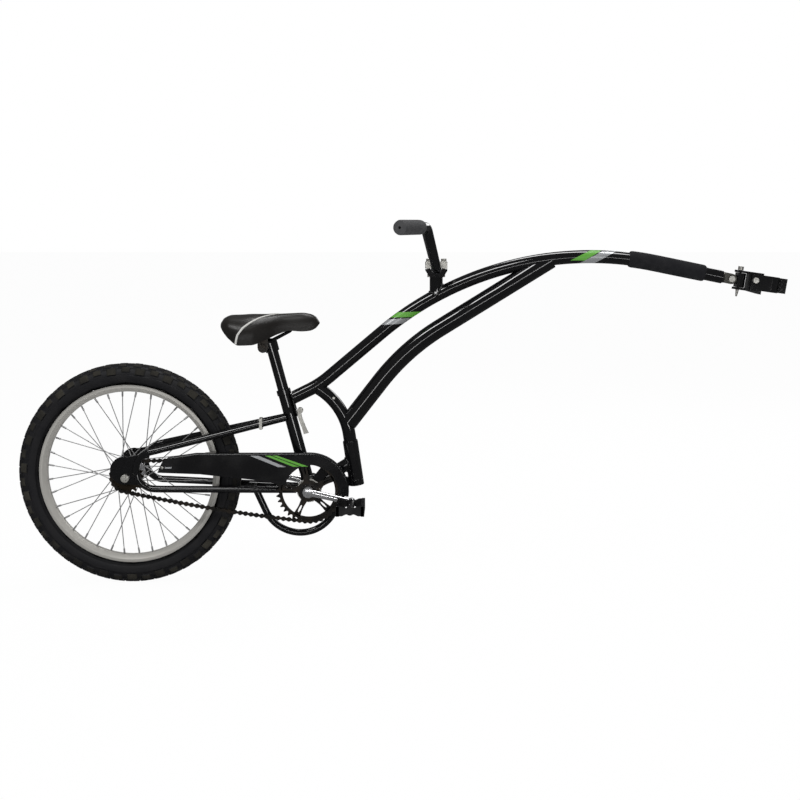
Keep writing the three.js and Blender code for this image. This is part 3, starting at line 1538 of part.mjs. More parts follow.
// Hitch: yaw block, yoke and seat post clamp
const hitch = new THREE.Group();
hitch.position.copy(pitchPlace);
hitch.rotation.y = hitchTilt;
bench.add(hitch);
const blockBody = join(
  block(blockBack, yawReach, -yawRadius, yawRadius, -blockHalfHeight, blockHalfHeight),
  common(
    rod(at(yawReach, 0, -blockHalfHeight), at(yawReach, 0, blockHalfHeight), yawRadius),
    block(blockBack, overrun, -overrun, overrun, -overrun, overrun),
  ),
);
const lug = join(
  across(0, 0, -lugHalf, lugHalf, lugRadius),
  block(0, blockBack + lugHalf, -lugHalf, lugHalf, -lugRadius, lugRadius),
);
const yawHole = rod(
  at(yawReach, 0, -overrun), at(yawReach, 0, overrun), yawPin + seatGap, 0, smallSides,
);
add("yaw_block", cut(join(blockBody, lug), yawHole, pitchHole), paint, hitch);
const earInner = blockHalfHeight + runGap;
const earOuter = earInner + earThick;
const pinProfile = [
  [0, -earOuter - pinTipLength],
  [pinTipRadius, -earOuter - pinTipLength],
  [yawPin, -earOuter - seatGap],
  [yawPin, earOuter + seatGap],
  [pinHeadRadius, earOuter + seatGap],
  [pinHeadRadius, earOuter + seatGap + pinHeadHeight],
  [0, earOuter + seatGap + pinHeadHeight],
];
add("yaw_pin", turned(pinProfile, at(yawReach, 0, 0), at(0, 0, 1), smallSides), zinc, hitch);

const ear = (z0, z1) =>
  join(
    rod(at(yawReach, 0, z0), at(yawReach, 0, z1), earRadius),
    block(yawReach, yokeBack + earThick, -yokeHalf, yokeHalf, z0, z1),
  );
const yokeOutline = [
  v2(yokeBack, earOuter),
  v2(yokeBack, -earOuter),
  v2(yokeFront - earThick, -yokeBottom),
  v2(yokeFront, -yokeBottom),
  v2(yokeFront, yokeTop),
];
const crossHole = across(crossReach, crossRise, -overrun, overrun, crossBolt + seatGap, 0, smallSides);
const crossProfile = [
  [0, -yokeHalf - cheekThick - seatGap * 2 - crossHeadWidth],
  [crossHead, -yokeHalf - cheekThick - seatGap * 2 - crossHeadWidth],
  [crossHead, -yokeHalf - cheekThick - seatGap * 2],
  [crossBolt, -yokeHalf - cheekThick - seatGap * 2],
  [crossBolt, yokeHalf + cheekThick + seatGap * 2],
  [crossHead, yokeHalf + cheekThick + seatGap * 2],
  [crossHead, yokeHalf + cheekThick + seatGap * 2 + crossHeadWidth],
  [0, yokeHalf + cheekThick + seatGap * 2 + crossHeadWidth],
];
add(
  "yoke",
  cut(
    join(ear(earInner, earOuter), ear(-earOuter, -earInner), sheet(yokeOutline, -yokeHalf, yokeHalf)),
    yawHole,
    crossHole,
  ),
  paint,
  hitch,
);
add(
  "yoke_cross_bolt",
  turned(crossProfile, at(crossReach, 0, crossRise), yAxis, smallSides),
  zinc,
  hitch,
);

// Two clamp halves round the seat post, and the split bush inside them
const clampBore = postRadius + bushWall + seatGap;
const clampOuter = clampBore + clampWall;
const postHole = rod(
  at(clampReach, 0, -overrun), at(clampReach, 0, overrun), clampBore,
);
const flangeBolts = [flangeBoltRise, -flangeBoltRise];
function clampHalf(side) {
  const inner = yokeHalf + seatGap;
  const y = (a, b) => [Math.min(side * a, side * b), Math.max(side * a, side * b)];
  const sideBox = (x0, x1, [y0, y1], z0, z1) => block(x0, x1, y0, y1, z0, z1);
  const ring = common(
    rod(at(clampReach, 0, -clampHalfHeight), at(clampReach, 0, clampHalfHeight), clampOuter),
    sideBox(yokeFront + seatGap, clampReach + overrun, y(flangeSlit, overrun), -overrun, overrun),
  );
  const side1 = sideBox(
    cheekBack, clampReach, y(inner, inner + cheekThick), -clampHalfHeight, clampHalfHeight,
  );
  const flangePlate = sideBox(
    clampReach + flangeBack, clampReach + flangeFront, y(flangeSlit, flangeSlit + flangeThick),
    -clampHalfHeight + flangeSlit, clampHalfHeight - flangeSlit,
  );
  return join(ring, side1, flangePlate);
}
const boltTool = (radius, z) =>
  across(clampReach + flangeBoltReach, z, -overrun, overrun, radius, 0, smallSides);
add(
  "clamp_half_right",
  cut(
    clampHalf(-1), postHole, crossHole,
    ...flangeBolts.map((z) => boltTool(flangeBolt + seatGap, z)),
  ),
  paint,
  hitch,
);
const headOuter = flangeSlit + flangeThick + seatGap + flangeBoltWidth;
const clampScrews = flangeBolts.map((z) =>
  join(
    across(
      clampReach + flangeBoltReach, z, -headOuter, flangeSlit + flangeThick + flangeBoltWidth,
      flangeBolt, 0, smallSides,
    ),
    across(
      clampReach + flangeBoltReach, z, -headOuter, -flangeSlit - flangeThick - seatGap,
      flangeBoltHead, 0, smallSides,
    ),
  ),
);
add(
  "clamp_half_left",
  join(cut(clampHalf(1), postHole, crossHole), ...clampScrews),
  paint,
  hitch,
);
const bushSlit = block(
  clampReach, clampReach + overrun, -flangeSlit, flangeSlit, -overrun, overrun,
);
add(
  "post_bush",
  cut(
    rod(
      at(clampReach, 0, -clampHalfHeight), at(clampReach, 0, clampHalfHeight),
      postRadius + bushWall, postRadius,
    ),
    bushSlit,
  ),
  resin,
  hitch,
);

// The clamp's centre becomes the origin
const origin = at(clampReach, 0, 0).applyAxisAngle(yAxis, hitchTilt).add(pitchPlace);
bench.position.copy(origin).negate();
const trailerBike = new THREE.Group();
trailerBike.add(bench);
export default trailerBike;
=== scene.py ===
"""A child's one-wheel trailer bike with an arched boom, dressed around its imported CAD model.

Places are worked out in millimetres on bench axes, X forward from the rear hub, Y to the left and
Z up from the ground, and moved to the part's own frame, in metres, when a mesh is made.
"""
import bpy
import bmesh
import numpy as np
from numpy.linalg import norm
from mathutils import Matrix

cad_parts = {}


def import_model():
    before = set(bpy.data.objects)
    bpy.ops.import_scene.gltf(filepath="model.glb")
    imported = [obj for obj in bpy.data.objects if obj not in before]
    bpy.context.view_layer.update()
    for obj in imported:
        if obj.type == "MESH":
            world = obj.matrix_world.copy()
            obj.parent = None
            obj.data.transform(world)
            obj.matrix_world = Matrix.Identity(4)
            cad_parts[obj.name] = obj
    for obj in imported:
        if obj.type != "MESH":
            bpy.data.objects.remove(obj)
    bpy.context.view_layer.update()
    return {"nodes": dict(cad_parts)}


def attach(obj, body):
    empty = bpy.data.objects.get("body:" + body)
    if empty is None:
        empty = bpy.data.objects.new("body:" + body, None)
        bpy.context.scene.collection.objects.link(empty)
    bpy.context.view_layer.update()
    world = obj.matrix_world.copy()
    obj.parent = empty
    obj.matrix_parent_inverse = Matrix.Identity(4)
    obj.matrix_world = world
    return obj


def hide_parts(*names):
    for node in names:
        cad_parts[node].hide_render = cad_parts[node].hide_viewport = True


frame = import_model()
nodes = frame["nodes"]

# Floor, light and camera.
# A plain pale floor under the tyre, a soft sky and four lamps, as in a small studio. Camera rays
# see floor and sky as white, with a faint shadow, and glossy rays see both as a dim grey.
origin = np.array([1475.482, 0.0, 699.552])  # centre of the seat post clamp on the bench, mm


def to_part(points):
    """Bench millimetres to metres in the part's frame: (point - origin) / 1000."""
    return (np.asarray(points, float) - origin) / 1000.0


def placed(name, data):
    """A new object of the scene, for a mesh, a lamp or a camera."""
    made = bpy.data.objects.new(name, data)
    bpy.context.collection.objects.link(made)
    return made


def link(tree, source, out, target, into):
    """Joins an output socket of one node to an input socket of another."""
    tree.links.new(source.outputs[out], target.inputs[into])


def fill(node, values):
    """Sets input sockets of a node from a dictionary."""
    for socket, value in values.items():
        node.inputs[socket].default_value = value


def added(tree, kind, values=(), **settings):
    """A new shader node with its settings and input values."""
    node = tree.nodes.new("ShaderNode" + kind)
    for setting, value in settings.items():
        setattr(node, setting, value)
    fill(node, dict(values))
    return node


def white_for_camera(tree, lit, kind, share, dim, output):
    """A lit shader goes mostly white for camera and transmission rays, and dim for glossy rays.

    The white and the dim grey are shaders of the given kind, and the output node shows the mix.
    """
    path = added(tree, "LightPath")
    seen = added(tree, "Math", operation="MAXIMUM")
    link(tree, path, "Is Camera Ray", seen, 0)
    link(tree, path, "Is Transmission Ray", seen, 1)
    amount = added(tree, "Math", {1: share}, operation="MULTIPLY")
    link(tree, seen, 0, amount, 0)
    white = added(tree, kind, {"Color": (1, 1, 1, 1)})
    grey = added(tree, kind, {"Color": (dim, dim, dim, 1)})
    mix, shown = added(tree, "MixShader"), added(tree, "MixShader")
    link(tree, amount, 0, mix, 0)
    link(tree, lit, 0, mix, 1)
    link(tree, white, 0, mix, 2)
    link(tree, path, "Is Glossy Ray", shown, 0)
    link(tree, mix, 0, shown, 1)
    link(tree, grey, 0, shown, 2)
    link(tree, shown, 0, tree.nodes[output], 0)


floor_half, floor_gap = 30.0, 0.4  # half its width, m, and its place under the ground line, mm
floor_z = to_part([0, 0, -floor_gap])[2]
corners = [(x * floor_half, y * floor_half, floor_z)
           for x, y in ((-1, -1), (1, -1), (1, 1), (-1, 1))]
floor_mesh = bpy.data.meshes.new("floor")
floor_mesh.from_pydata(corners, [], [(0, 1, 2, 3)])
floor = placed("floor", floor_mesh)
floor_paint = bpy.data.materials.new("floor_paint")
floor_paint.use_nodes = True
tree = floor_paint.node_tree
lit = tree.nodes["Principled BSDF"]
fill(lit, {"Base Color": (0.9, 0.9, 0.9, 1), "Roughness": 0.9})
white_for_camera(tree, lit, "Emission", 0.97, 0.09, "Material Output")
floor_mesh.materials.append(floor_paint)

world = bpy.data.worlds.new("studio")
bpy.context.scene.world = world
world.use_nodes = True
tree = world.node_tree
sky = tree.nodes["Background"]
fill(sky, {"Color": (0.95, 0.97, 1.0, 1), "Strength": 0.38})
white_for_camera(tree, sky, "Background", 1.0, 0.1, "World Output")

middle = np.array([-0.8457, 0.0, -0.2680])  # what the camera and the lamps aim at, m


def lamp(name, away, size, power):
    """An area lamp away from the middle by so many metres, and turned to it."""
    light = bpy.data.lights.new(name, "AREA")
    light.shape = "RECTANGLE"
    light.size, light.size_y = size
    light.energy = power
    holder = placed(name, light)
    holder.location = middle + away
    pitch = np.arctan2(np.hypot(away[0], away[1]), away[2])
    holder.rotation_euler = (pitch, 0.0, np.arctan2(away[0], -away[1]))


lamp("key_lamp", (-1.2, -2.2, 3.0), (2.8, 0.5), 62)
lamp("top_lamp", (0.6, 0.4, 3.4), (3.4, 0.6), 62)
lamp("low_lamp", (0.3, -3.2, -0.1), (3.4, 0.14), 14)
lamp("back_lamp", (1.8, 2.4, 1.6), (1.8, 1.0), 24)

field_of_view, camera_rise, distance = 34.38, np.radians(8.0), 3.0
camera_data = bpy.data.cameras.new("camera")
camera_data.sensor_width = 36.0
camera_data.lens = camera_data.sensor_width / 2 / np.tan(np.radians(field_of_view / 2))
camera = placed("camera", camera_data)
camera.location = middle + distance * np.array([0, -np.cos(camera_rise), np.sin(camera_rise)])
camera.rotation_euler = (np.pi / 2 - camera_rise, 0.0, 0.0)
bpy.context.scene.camera = camera
bpy.context.scene.view_settings.view_transform = "Standard"

# Boom.
# One steel tube bent into an arch from the latch at the seat tube to the hitch, 30 mm across.
# It is powder coated gloss black; its generic green and silver bands are thin transfers.
facing = np.array([0.0, 1.0, 0.0])


def unit(vectors):
    """Vectors scaled to length 1: v / |v|."""
    return vectors / norm(vectors, axis=-1, keepdims=True)


def circle(count):
    """Angles at even steps round a full turn."""
    return np.linspace(0, 2 * np.pi, count, endpoint=False)


def lengths_along(path):
    """Length from the start of a path to each of its points."""
    return np.concatenate([[0], np.cumsum(norm(np.diff(path, axis=0), axis=1))])


def read_off(where, places, values):
    """Rows of values that stand at rising places, read off between them along straight lines."""
    return np.stack([np.interp(where, places, column) for column in values.T], -1)


def aimed(angle):
    """A unit vector in the centre plane, at an angle up from +X: (cos a, 0, sin a)."""
    return np.array([np.cos(angle), 0, np.sin(angle)])


def walk(start, heading, moves, step=5.0):
    """Points of a path in the centre plane, from its runs and bends.

    A run is ("run", length) and a bend ("turn", degrees, radius). A bend to the left, towards +Z
    when the path heads along +X, has a positive turn.
    """
    here, slope = np.array(start, float), np.radians(heading)
    parts = [here[None]]
    for kind, amount, *rest in moves:
        if kind == "run":
            along = np.linspace(0, amount, max(2, int(amount / step)) + 1)[1:, None]
            parts.append(here + along * aimed(slope))
        else:
            turn, side = np.radians(amount), np.sign(amount) * rest[0]
            centre = here + side * aimed(slope + np.pi / 2)
            count = max(6, int(abs(turn) * rest[0] / step))
            angle = slope + turn * np.linspace(0, 1, count + 1)[1:]
            ring = np.stack([np.sin(angle), 0 * angle, -np.cos(angle)], 1)
            parts.append(centre + side * ring)
            slope += turn
        here = parts[-1][-1]
    return np.concatenate(parts)


def grid_faces(rows, columns, wrap=True, wrap_rows=False):
    """Quads of a grid numbered along its rows; wrap joins the last column to the first."""
    i = np.arange(rows if wrap_rows else rows - 1)[:, None]
    j = np.arange(columns if wrap else columns - 1)[None]
    row, column = (i + 1) % rows, (j + 1) % columns
    quads = np.stack([i * columns + j, i * columns + column, row * columns + column,
                      row * columns + j], -1)
    return quads.reshape(-1, 4)


def frames(path, reference):
    """Unit side and up at each point: up = reference x tangent, and side = tangent x up."""
    tangent = unit(np.gradient(path, axis=0))
    up = unit(np.cross(reference, tangent))
    return np.cross(tangent, up), up


def tube_points(path, radius, sides=28, reference=facing, wide=1.0):
    """Rings round a path: path + radius (wide side cos a + up sin a).

    The radius and the width share are one value, or one for each ring.
    """
    side, up = frames(path, reference)
    angle = circle(sides)[None, :, None]
    ring = np.cos(angle) * side[:, None] * np.reshape(wide, (-1, 1, 1))
    ring = ring + np.sin(angle) * up[:, None]
    return path[:, None] + np.reshape(radius, (-1, 1, 1)) * ring


def soften(mesh, sharp):
    """Smooth shading, apart from edges sharper than an angle in degrees."""
    mesh.shade_smooth()
    mesh.set_sharp_from_angle(angle=np.radians(sharp))


def outwards(mesh, merge):
    """Turns the faces of a closed mesh out, after merging doubled points where merge is set."""
    work = bmesh.new()
    work.from_mesh(mesh)
    if merge:
        bmesh.ops.remove_doubles(work, verts=work.verts, dist=1e-6)
        bmesh.ops.dissolve_degenerate(work, edges=work.edges, dist=1e-7)
    bmesh.ops.recalc_face_normals(work, faces=work.faces)
    work.to_mesh(mesh)
    work.free()


def piece(name, points, faces, material, body, stands_for=(), slot="black_paint", sharp=30.0,
          merge=False, closed=True):
    """A mesh from bench points and faces, smooth up to the sharp angle, riding on its body."""
    mesh = bpy.data.meshes.new(name)
    listed = faces if isinstance(faces, list) else faces.tolist()
    mesh.from_pydata(to_part(np.reshape(points, (-1, 3))).tolist(), [], listed)
    mesh.validate()
    soften(mesh, sharp)
    mesh.materials.append(material)
    made = placed(name, mesh)
    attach(made, body)
    if stands_for:
        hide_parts(*stands_for)
    if closed:
        outwards(mesh, merge)
    if merge:
        soften(mesh, sharp)
    return made


def capped(name, rings, material, body, stands_for=(), slot="black_paint", sharp=40):
    """A closed skin through rings of points, with a flat cap at each end."""
    rows, columns = rings.shape[:2]
    faces = grid_faces(rows, columns).tolist()
    faces += [list(range(columns))[::-1], list(range((rows - 1) * columns, rows * columns))]
    return piece(name, rings, faces, material, body, stands_for, slot, sharp)


def tube(name, path, radius, material, body, stands_for=(), slot="black_paint", **shape):
    """A closed tube along a path, with a flat cap at each end."""
    return capped(name, tube_points(path, radius, **shape), material, body, stands_for, slot)


def worn_group():
    """Node group: a colour with faint dust, a varying roughness and the height of a fine grain."""
    group = bpy.data.node_groups.new("worn_surface", "ShaderNodeTree")
    for way, labels in (("INPUT", ("Color", "Dust", "Dust Share", "Patch Scale", "Grain Scale",
                                   "Rough Low", "Rough High")),
                        ("OUTPUT", ("Color", "Roughness", "Height"))):
        for label in labels:
            kind = "Color" if label in ("Color", "Dust") else "Float"
            group.interface.new_socket(label, in_out=way, socket_type="NodeSocket" + kind)
    start = group.nodes.new("NodeGroupInput")
    end = group.nodes.new("NodeGroupOutput")
    place = added(group, "TexCoord")
    patch = added(group, "TexNoise", {"Detail": 5})
    link(group, place, "Object", patch, "Vector")
    link(group, start, "Patch Scale", patch, "Scale")
    spread = added(group, "MapRange", {"From Min": 0.42, "From Max": 0.72})
    link(group, patch, "Fac", spread, "Value")
    link(group, start, "Dust Share", spread, "To Max")
    mix = added(group, "Mix", data_type="RGBA")
    link(group, spread, "Result", mix, "Factor")
    link(group, start, "Color", mix, 6)
    link(group, start, "Dust", mix, 7)
    link(group, mix, 2, end, "Color")
    rough = added(group, "MapRange", {"From Min": 0.3, "From Max": 0.7})
    link(group, patch, "Fac", rough, "Value")
    link(group, start, "Rough Low", rough, "To Min")
    link(group, start, "Rough High", rough, "To Max")
    link(group, rough, "Result", end, "Roughness")
    grain = added(group, "TexNoise", {"Detail": 3})
    link(group, place, "Object", grain, "Vector")
    link(group, start, "Grain Scale", grain, "Scale")
    link(group, grain, "Fac", end, "Height")
    return group


worn = worn_group()


def material(name, colour, rough, metal=0.0, dust=(0.35, 0.34, 0.32), dust_share=0.03, patch=9.0,
             grain=900.0, bump=0.05, cells=None, depth=0.0002, shine=0.5):
    """A worn colour and roughness with a fine grain, or with cells of a (scale, kind, height)."""
    made = bpy.data.materials.new(name)
    made.use_nodes = True
    made.diffuse_color = (*colour, 1)
    tree = made.node_tree
    shader = tree.nodes["Principled BSDF"]
    group = added(tree, "Group", node_tree=worn, values={
        "Color": (*colour, 1), "Dust": (*dust, 1), "Dust Share": dust_share, "Patch Scale": patch,
        "Grain Scale": grain, "Rough Low": rough[0], "Rough High": rough[1]})
    fill(shader, {"Metallic": metal, "Specular IOR Level": shine})
    link(tree, group, "Color", shader, "Base Color")
    link(tree, group, "Roughness", shader, "Roughness")
    raised = added(tree, "Bump", {"Strength": bump, "Distance": depth})
    link(tree, group, "Height", raised, "Height")
    if cells:
        cell_scale, cell_kind, cell_height = cells
        pattern = added(tree, "TexVoronoi", {"Scale": cell_scale}, feature=cell_kind)
        link(tree, added(tree, "TexCoord"), "Object", pattern, "Vector")
        both = added(tree, "Math", {1: cell_height}, operation="MULTIPLY_ADD")
        link(tree, pattern, "Distance", both, 0)
        link(tree, group, "Height", both, 2)
        link(tree, both, 0, raised, "Height")
    link(tree, raised, "Normal", shader, "Normal")
    return made


black_paint = material("black_paint", (0.0035, 0.0035, 0.004), (0.05, 0.1), dust_share=0.006,
                       grain=420, bump=0.03, shine=0.7)
green_film = material("green_film", (0.10, 0.36, 0.03), (0.3, 0.42), dust_share=0.05)
silver_film = material("silver_film", (0.42, 0.43, 0.44), (0.25, 0.4), metal=0.5, dust_share=0.05)
boom_radius, film_lift = 15.0, 0.15
lean = np.radians(14.5)
seat_ahead, seat_up = aimed(lean), aimed(lean + np.pi / 2)
hub = np.array([0.0, 0.0, 259.0])
bracket = np.array([418.7, 0.0, 225.7])


def on_seat_tube(along, ahead):
    """A place up along the seat tube from the bottom bracket, and ahead of its axis."""
    return bracket + seat_up * along + seat_ahead * ahead


tail_slope, tail_run, rise_run, nose_run = 26.4, 49.7, 158.9, 157.5
boom_path = walk(on_seat_tube(212.2, 10), tail_slope, [
    ("run", tail_run), ("turn", 13.7, 230), ("run", rise_run), ("turn", -51.6, 741),
    ("run", nose_run)])
boom_rings = tube_points(boom_path, boom_radius, 36)
boom_ahead = (boom_rings - bracket) @ seat_ahead
tail_plane = 17.95  # front of the latch plate, ahead of the seat tube's axis
tail_ring = int(np.argmax(boom_ahead.min(1) > tail_plane + 0.2))
tail_way = boom_path[tail_ring] - boom_path[tail_ring - 1]
tail_shift = (tail_plane - boom_ahead[tail_ring]) / (tail_way @ seat_ahead)
tail_cut = boom_rings[tail_ring] + tail_shift[:, None] * tail_way
capped("boom", np.concatenate([tail_cut[None], boom_rings[tail_ring:]]), black_paint, "front_frame",
       ["boom_tube"])
boom_along = lengths_along(boom_path)


def on_boom(along):
    """Points on the boom's axis at lengths along it, with the up vectors there."""
    up = frames(boom_path, facing)[1]
    return read_off(along, boom_along, boom_path), read_off(along, boom_along, up)


def transfer(name, corners, film):
    """A thin film on the boom's right side: corners c0 to c3, as (length along, height share).

    The film fills the room between its sides c0 to c1 and c3 to c2. A point at height share h
    stands just proud of the tube, asin h above the side that faces -Y.
    """
    c = np.array(corners, float)
    t = np.linspace(0, 1, 40)[:, None, None]
    u = np.linspace(0, 1, 10)[None, :, None]
    place = (1 - u) * ((1 - t) * c[0] + t * c[1]) + u * ((1 - t) * c[3] + t * c[2])
    line, up = on_boom(place[..., 0])
    angle = np.arcsin(np.clip(place[..., 1:], -0.98, 0.98))
    shell = line - (boom_radius + film_lift) * (np.sin(angle) * up + np.cos(angle) * facing)
    piece(name, shell, grid_faces(40, 10, wrap=False), film, "front_frame", closed=False)


for name, film, start in (("green_band", green_film, 302), ("silver_band", silver_film, 275)):
    transfer(name + "_tail", [(start, 0.96), (start + 42, -0.93), (start + 66, -0.96),
                              (start + 20, 0.96)], film)
transfer("green_band_nose", [(735, -0.46), (781, 0.96), (806, 0.97), (768, -0.55)], green_film)
transfer("silver_band_nose", [(756, -0.97), (808, 0.84), (839, 0.95), (791, -0.97)], silver_film)

# Foam pad.
# A sleeve of closed cell foam, about 180 mm long, slipped over the front of the arch.
# It is a little fuller in the middle, and its cut ends are rounded where they grip the tube.
foam = material("foam", (0.011, 0.011, 0.013), (0.85, 0.98), dust_share=0.02, patch=60, shine=0.2,
                cells=(420, "F1", 0.9), bump=0.5, depth=0.0006)
pad_start, pad_end = boom_along[-1] - nose_run - 61.0, boom_along[-1] - 39.5
pad_s = np.linspace(pad_start, pad_end, 70)
share = (pad_s - pad_start) / (pad_end - pad_start)
pad_bore, pad_wall, rounded_share = 15.4, 3.6, 0.045
edge = np.clip(np.minimum(share, 1 - share) / rounded_share, 0, 1)
fullness = 0.94 + 0.06 * np.sin(np.pi * share)
pad_radius = pad_bore + pad_wall * np.sqrt(1 - (1 - edge) ** 2) * fullness
pad = tube("foam_sleeve", on_boom(pad_s)[0], pad_radius, foam, "front_frame", ["foam_pad"], "foam",
           sides=40)

# Lower tube, strut and stem.
# Steel tubes in black, welded with a rippled bead: the lower tube bends up from the hinge to the
# boom, the strut curls round in front of the latch, and the short stem stands on the boom.
sleeve_lean = np.radians(8.2)
hinge_up = aimed(sleeve_lean + np.pi / 2)
hinge_foot = bracket + np.array([110.0, 0, 6.0])


def on_hinge(height):
    """A place on the fold hinge's axis, up from the foot of its post."""
    return hinge_foot + hinge_up * height


def before(path, reached):
    """The points of a path before the first that is marked as reached, or all of them."""
    return path[:int(np.argmax(reached)) or len(path)]


def weld(name, start, heading, radius, centre, axis, across, body):
    """A rippled bead where a tube meets a round one: the round one cuts each line of its wall.

    For the line o + t d and the cylinder (q, e, R), t solves |(o + t d - q) x e| = R, the nearer
    root.
    """
    ripples, bead_radius = 26, 2.3
    d, e = unit(np.array(heading, float)), unit(np.array(axis, float))
    side = np.cross(d, facing)
    angle = circle(120)[:, None]
    o = start + radius * (np.cos(angle) * side + np.sin(angle) * np.cross(d, side))
    de, oe = np.cross(d, e), np.cross(o - centre, e)
    a, b, c = de @ de, oe @ de, (oe * oe).sum(1) - across ** 2
    t = (-b - np.sqrt(np.clip(b * b - a * c, 0, None))) / a
    line = o + t[:, None] * d
    tangent = unit(np.roll(line, -1, axis=0) - np.roll(line, 1, axis=0))
    out = unit(np.cross(tangent, d))
    turn = circle(8)[None, :, None]
    size = bead_radius * (1 + 0.16 * np.sin(ripples * angle))[:, None]
    ring = np.cos(turn) * out[:, None] + np.sin(turn) * np.cross(out, tangent)[:, None]
    piece(name, line[:, None] + size * ring, grid_faces(120, 8, wrap_rows=True), black_paint, body,
          sharp=60)


strut_radius, stem_radius, lower_radius = 15.0, 15.0, 20.5
strut_path = walk(on_hinge(106.5), 98.2, [("run", 15), ("turn", 56.8, 150), ("run", 30)], 3)
to_boom = norm(strut_path[:, None] - boom_path[None], axis=2).min(1)
tube("strut", before(strut_path, to_boom < 6.0), strut_radius, black_paint, "front_frame",
     ["strut_tube"], sides=32)
lower_path = walk(on_hinge(148.4) + np.array([2.2, 0, 0]), 52.3, [
    ("run", 122), ("turn", -20.5, 521), ("run", 180), ("run", 117)], 4)
from_end = norm(lower_path - lower_path[-1], axis=1)
lower_wide = 0.72 + 0.28 * np.clip(from_end / 150, 0, 1)
lower_rings = tube_points(lower_path, lower_radius, 36, wide=lower_wide)
boom_height = np.interp(lower_rings[..., 0], boom_path[:, 0], boom_path[:, 2])
below_boom = (lower_rings[..., 2] - boom_height).min(1) < -2.0
lower_rings[..., 2] = np.minimum(lower_rings[..., 2], boom_height)
capped("lower", lower_rings[below_boom], black_paint, "front_frame", ["lower_tube"])
stem_x, clamp_height = 712.7, 734.7
stem_foot = np.array([stem_x, 0, np.interp(stem_x, boom_path[:, 0], boom_path[:, 2])])
clamp_middle = np.array([stem_x, 0.0, clamp_height])
stem_slope = np.gradient(boom_path, axis=0)[np.argmin(abs(boom_path[:, 0] - stem_x))]
weld("stem_weld", clamp_middle, (0, 0, -1), stem_radius, stem_foot, stem_slope, boom_radius,
     "front_frame")


def dress(name, material_used, body, bevel=0.6):
    """The mesh of a CAD node, merged and smoothed with small rounded edges, stands for the node."""
    work = bmesh.new()
    work.from_mesh(nodes[name].data)
    bmesh.ops.remove_doubles(work, verts=work.verts, dist=1e-6)
    bmesh.ops.dissolve_limit(work, angle_limit=0.01, verts=work.verts, edges=work.edges)
    mesh = bpy.data.meshes.new(name + "_made")
    work.to_mesh(mesh)
    work.free()
    sharp = 32
    soften(mesh, sharp)
    mesh.materials.append(material_used)
    made = placed(name + "_made", mesh)
    if bevel:
        rounding = made.modifiers.new("rounding", "BEVEL")
        rounding.width = bevel / 1000
        rounding.segments = 2
        rounding.limit_method = "ANGLE"
        rounding.angle_limit = np.radians(sharp + 4)
        rounding.harden_normals = True
    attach(made, body)
    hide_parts(name)
    return made


zinc = material("zinc_steel", (0.6, 0.59, 0.55), (0.3, 0.48), metal=0.85, dust_share=0.08,
                patch=40, grain=700, bump=0.08)
for name in ("hinge_cap", "stem_tube", "latch_plate"):
    dress(name, black_paint, "front_frame")
# A darker zinc for the hitch tongue, also used as painted shade on the latch lever's lowest faces.
dark_zinc_and_painted_shade = material("dark_zinc_and_painted_shade", (0.07, 0.068, 0.06), (0.3, 0.45), metal=0.8, dust_share=0.05,
                     patch=40, grain=700, bump=0.08)
dress("hitch_tongue", dark_zinc_and_painted_shade, "front_frame")
for name in ("hinge_post", "stem_cap", "pitch_bolt"):
    dress(name, zinc, "front_frame")

# Handlebar and grips.
# A 22 mm steel bar with raised ends, black like the frame, and two ribbed foam grips.
# Each grip is a push-on sleeve, closed at its end apart from a small vent hole.


def rounded(corners, radius):
    """A path through corner points, each inner corner filleted between its tangent points.

    The fillet's points turn from one tangent point to the other about the fillet's centre.
    """
    step = 3.0
    parts = [corners[:1]]
    for last, here, following in zip(corners[:-2], corners[1:-1], corners[2:]):
        back, on = unit(last - here), unit(following - here)
        half = np.arccos(np.clip(back @ on, -1, 1)) / 2
        centre = here + unit(back + on) * radius / np.sin(half)
        arm = here + back * radius / np.tan(half) - centre
        far = here + on * radius / np.tan(half) - centre
        sweep = np.pi - 2 * half
        angle = np.linspace(0, 1, max(5, int(sweep * radius / step)) + 1)[:, None] * sweep
        parts.append(centre + (arm * np.sin(sweep - angle) + far * np.sin(angle)) / np.sin(sweep))
    rough = np.concatenate([*parts, corners[-1:]])
    lengths = lengths_along(rough)
    return read_off(np.linspace(0, lengths[-1], int(lengths[-1] / step) + 1), lengths, rough)


bar_radius, bar_bend = 11.1, 28
bar_corners = clamp_middle + np.array([
    (-82, 240, 95), (-24, 103, 95), (0, 31, 0), (0, -31, 0), (-24, -103, 95), (-82, -240, 95.0)])
tube("bar", rounded(bar_corners, bar_bend), bar_radius, black_paint, "handlebar", ["handlebar"],
     sides=32, reference=np.array([1.0, 0, 0]))


def turned(name, profile, place, axis, material_used, body, stands_for=(), slot="zinc_steel",
           steps=64):
    """A turned shape: place + radius (side cos a + other sin a) + height axis.

    The profile is a list of [radius, height] that closes on itself or runs from axis to axis.
    """
    axis = unit(np.array(axis, float))
    side = unit(np.cross(axis, (0, 0, 1.0)))
    angle = circle(steps)[:, None, None]
    drawn = np.array(profile, float)[None]
    points = place + drawn[..., 1:] * axis + drawn[..., :1] * (
        np.cos(angle) * side + np.sin(angle) * np.cross(axis, side))
    faces = grid_faces(steps, len(profile), wrap=profile[0] != profile[-1], wrap_rows=True)
    piece(name, points, faces, material_used, body, stands_for, slot, sharp=35, merge=True)


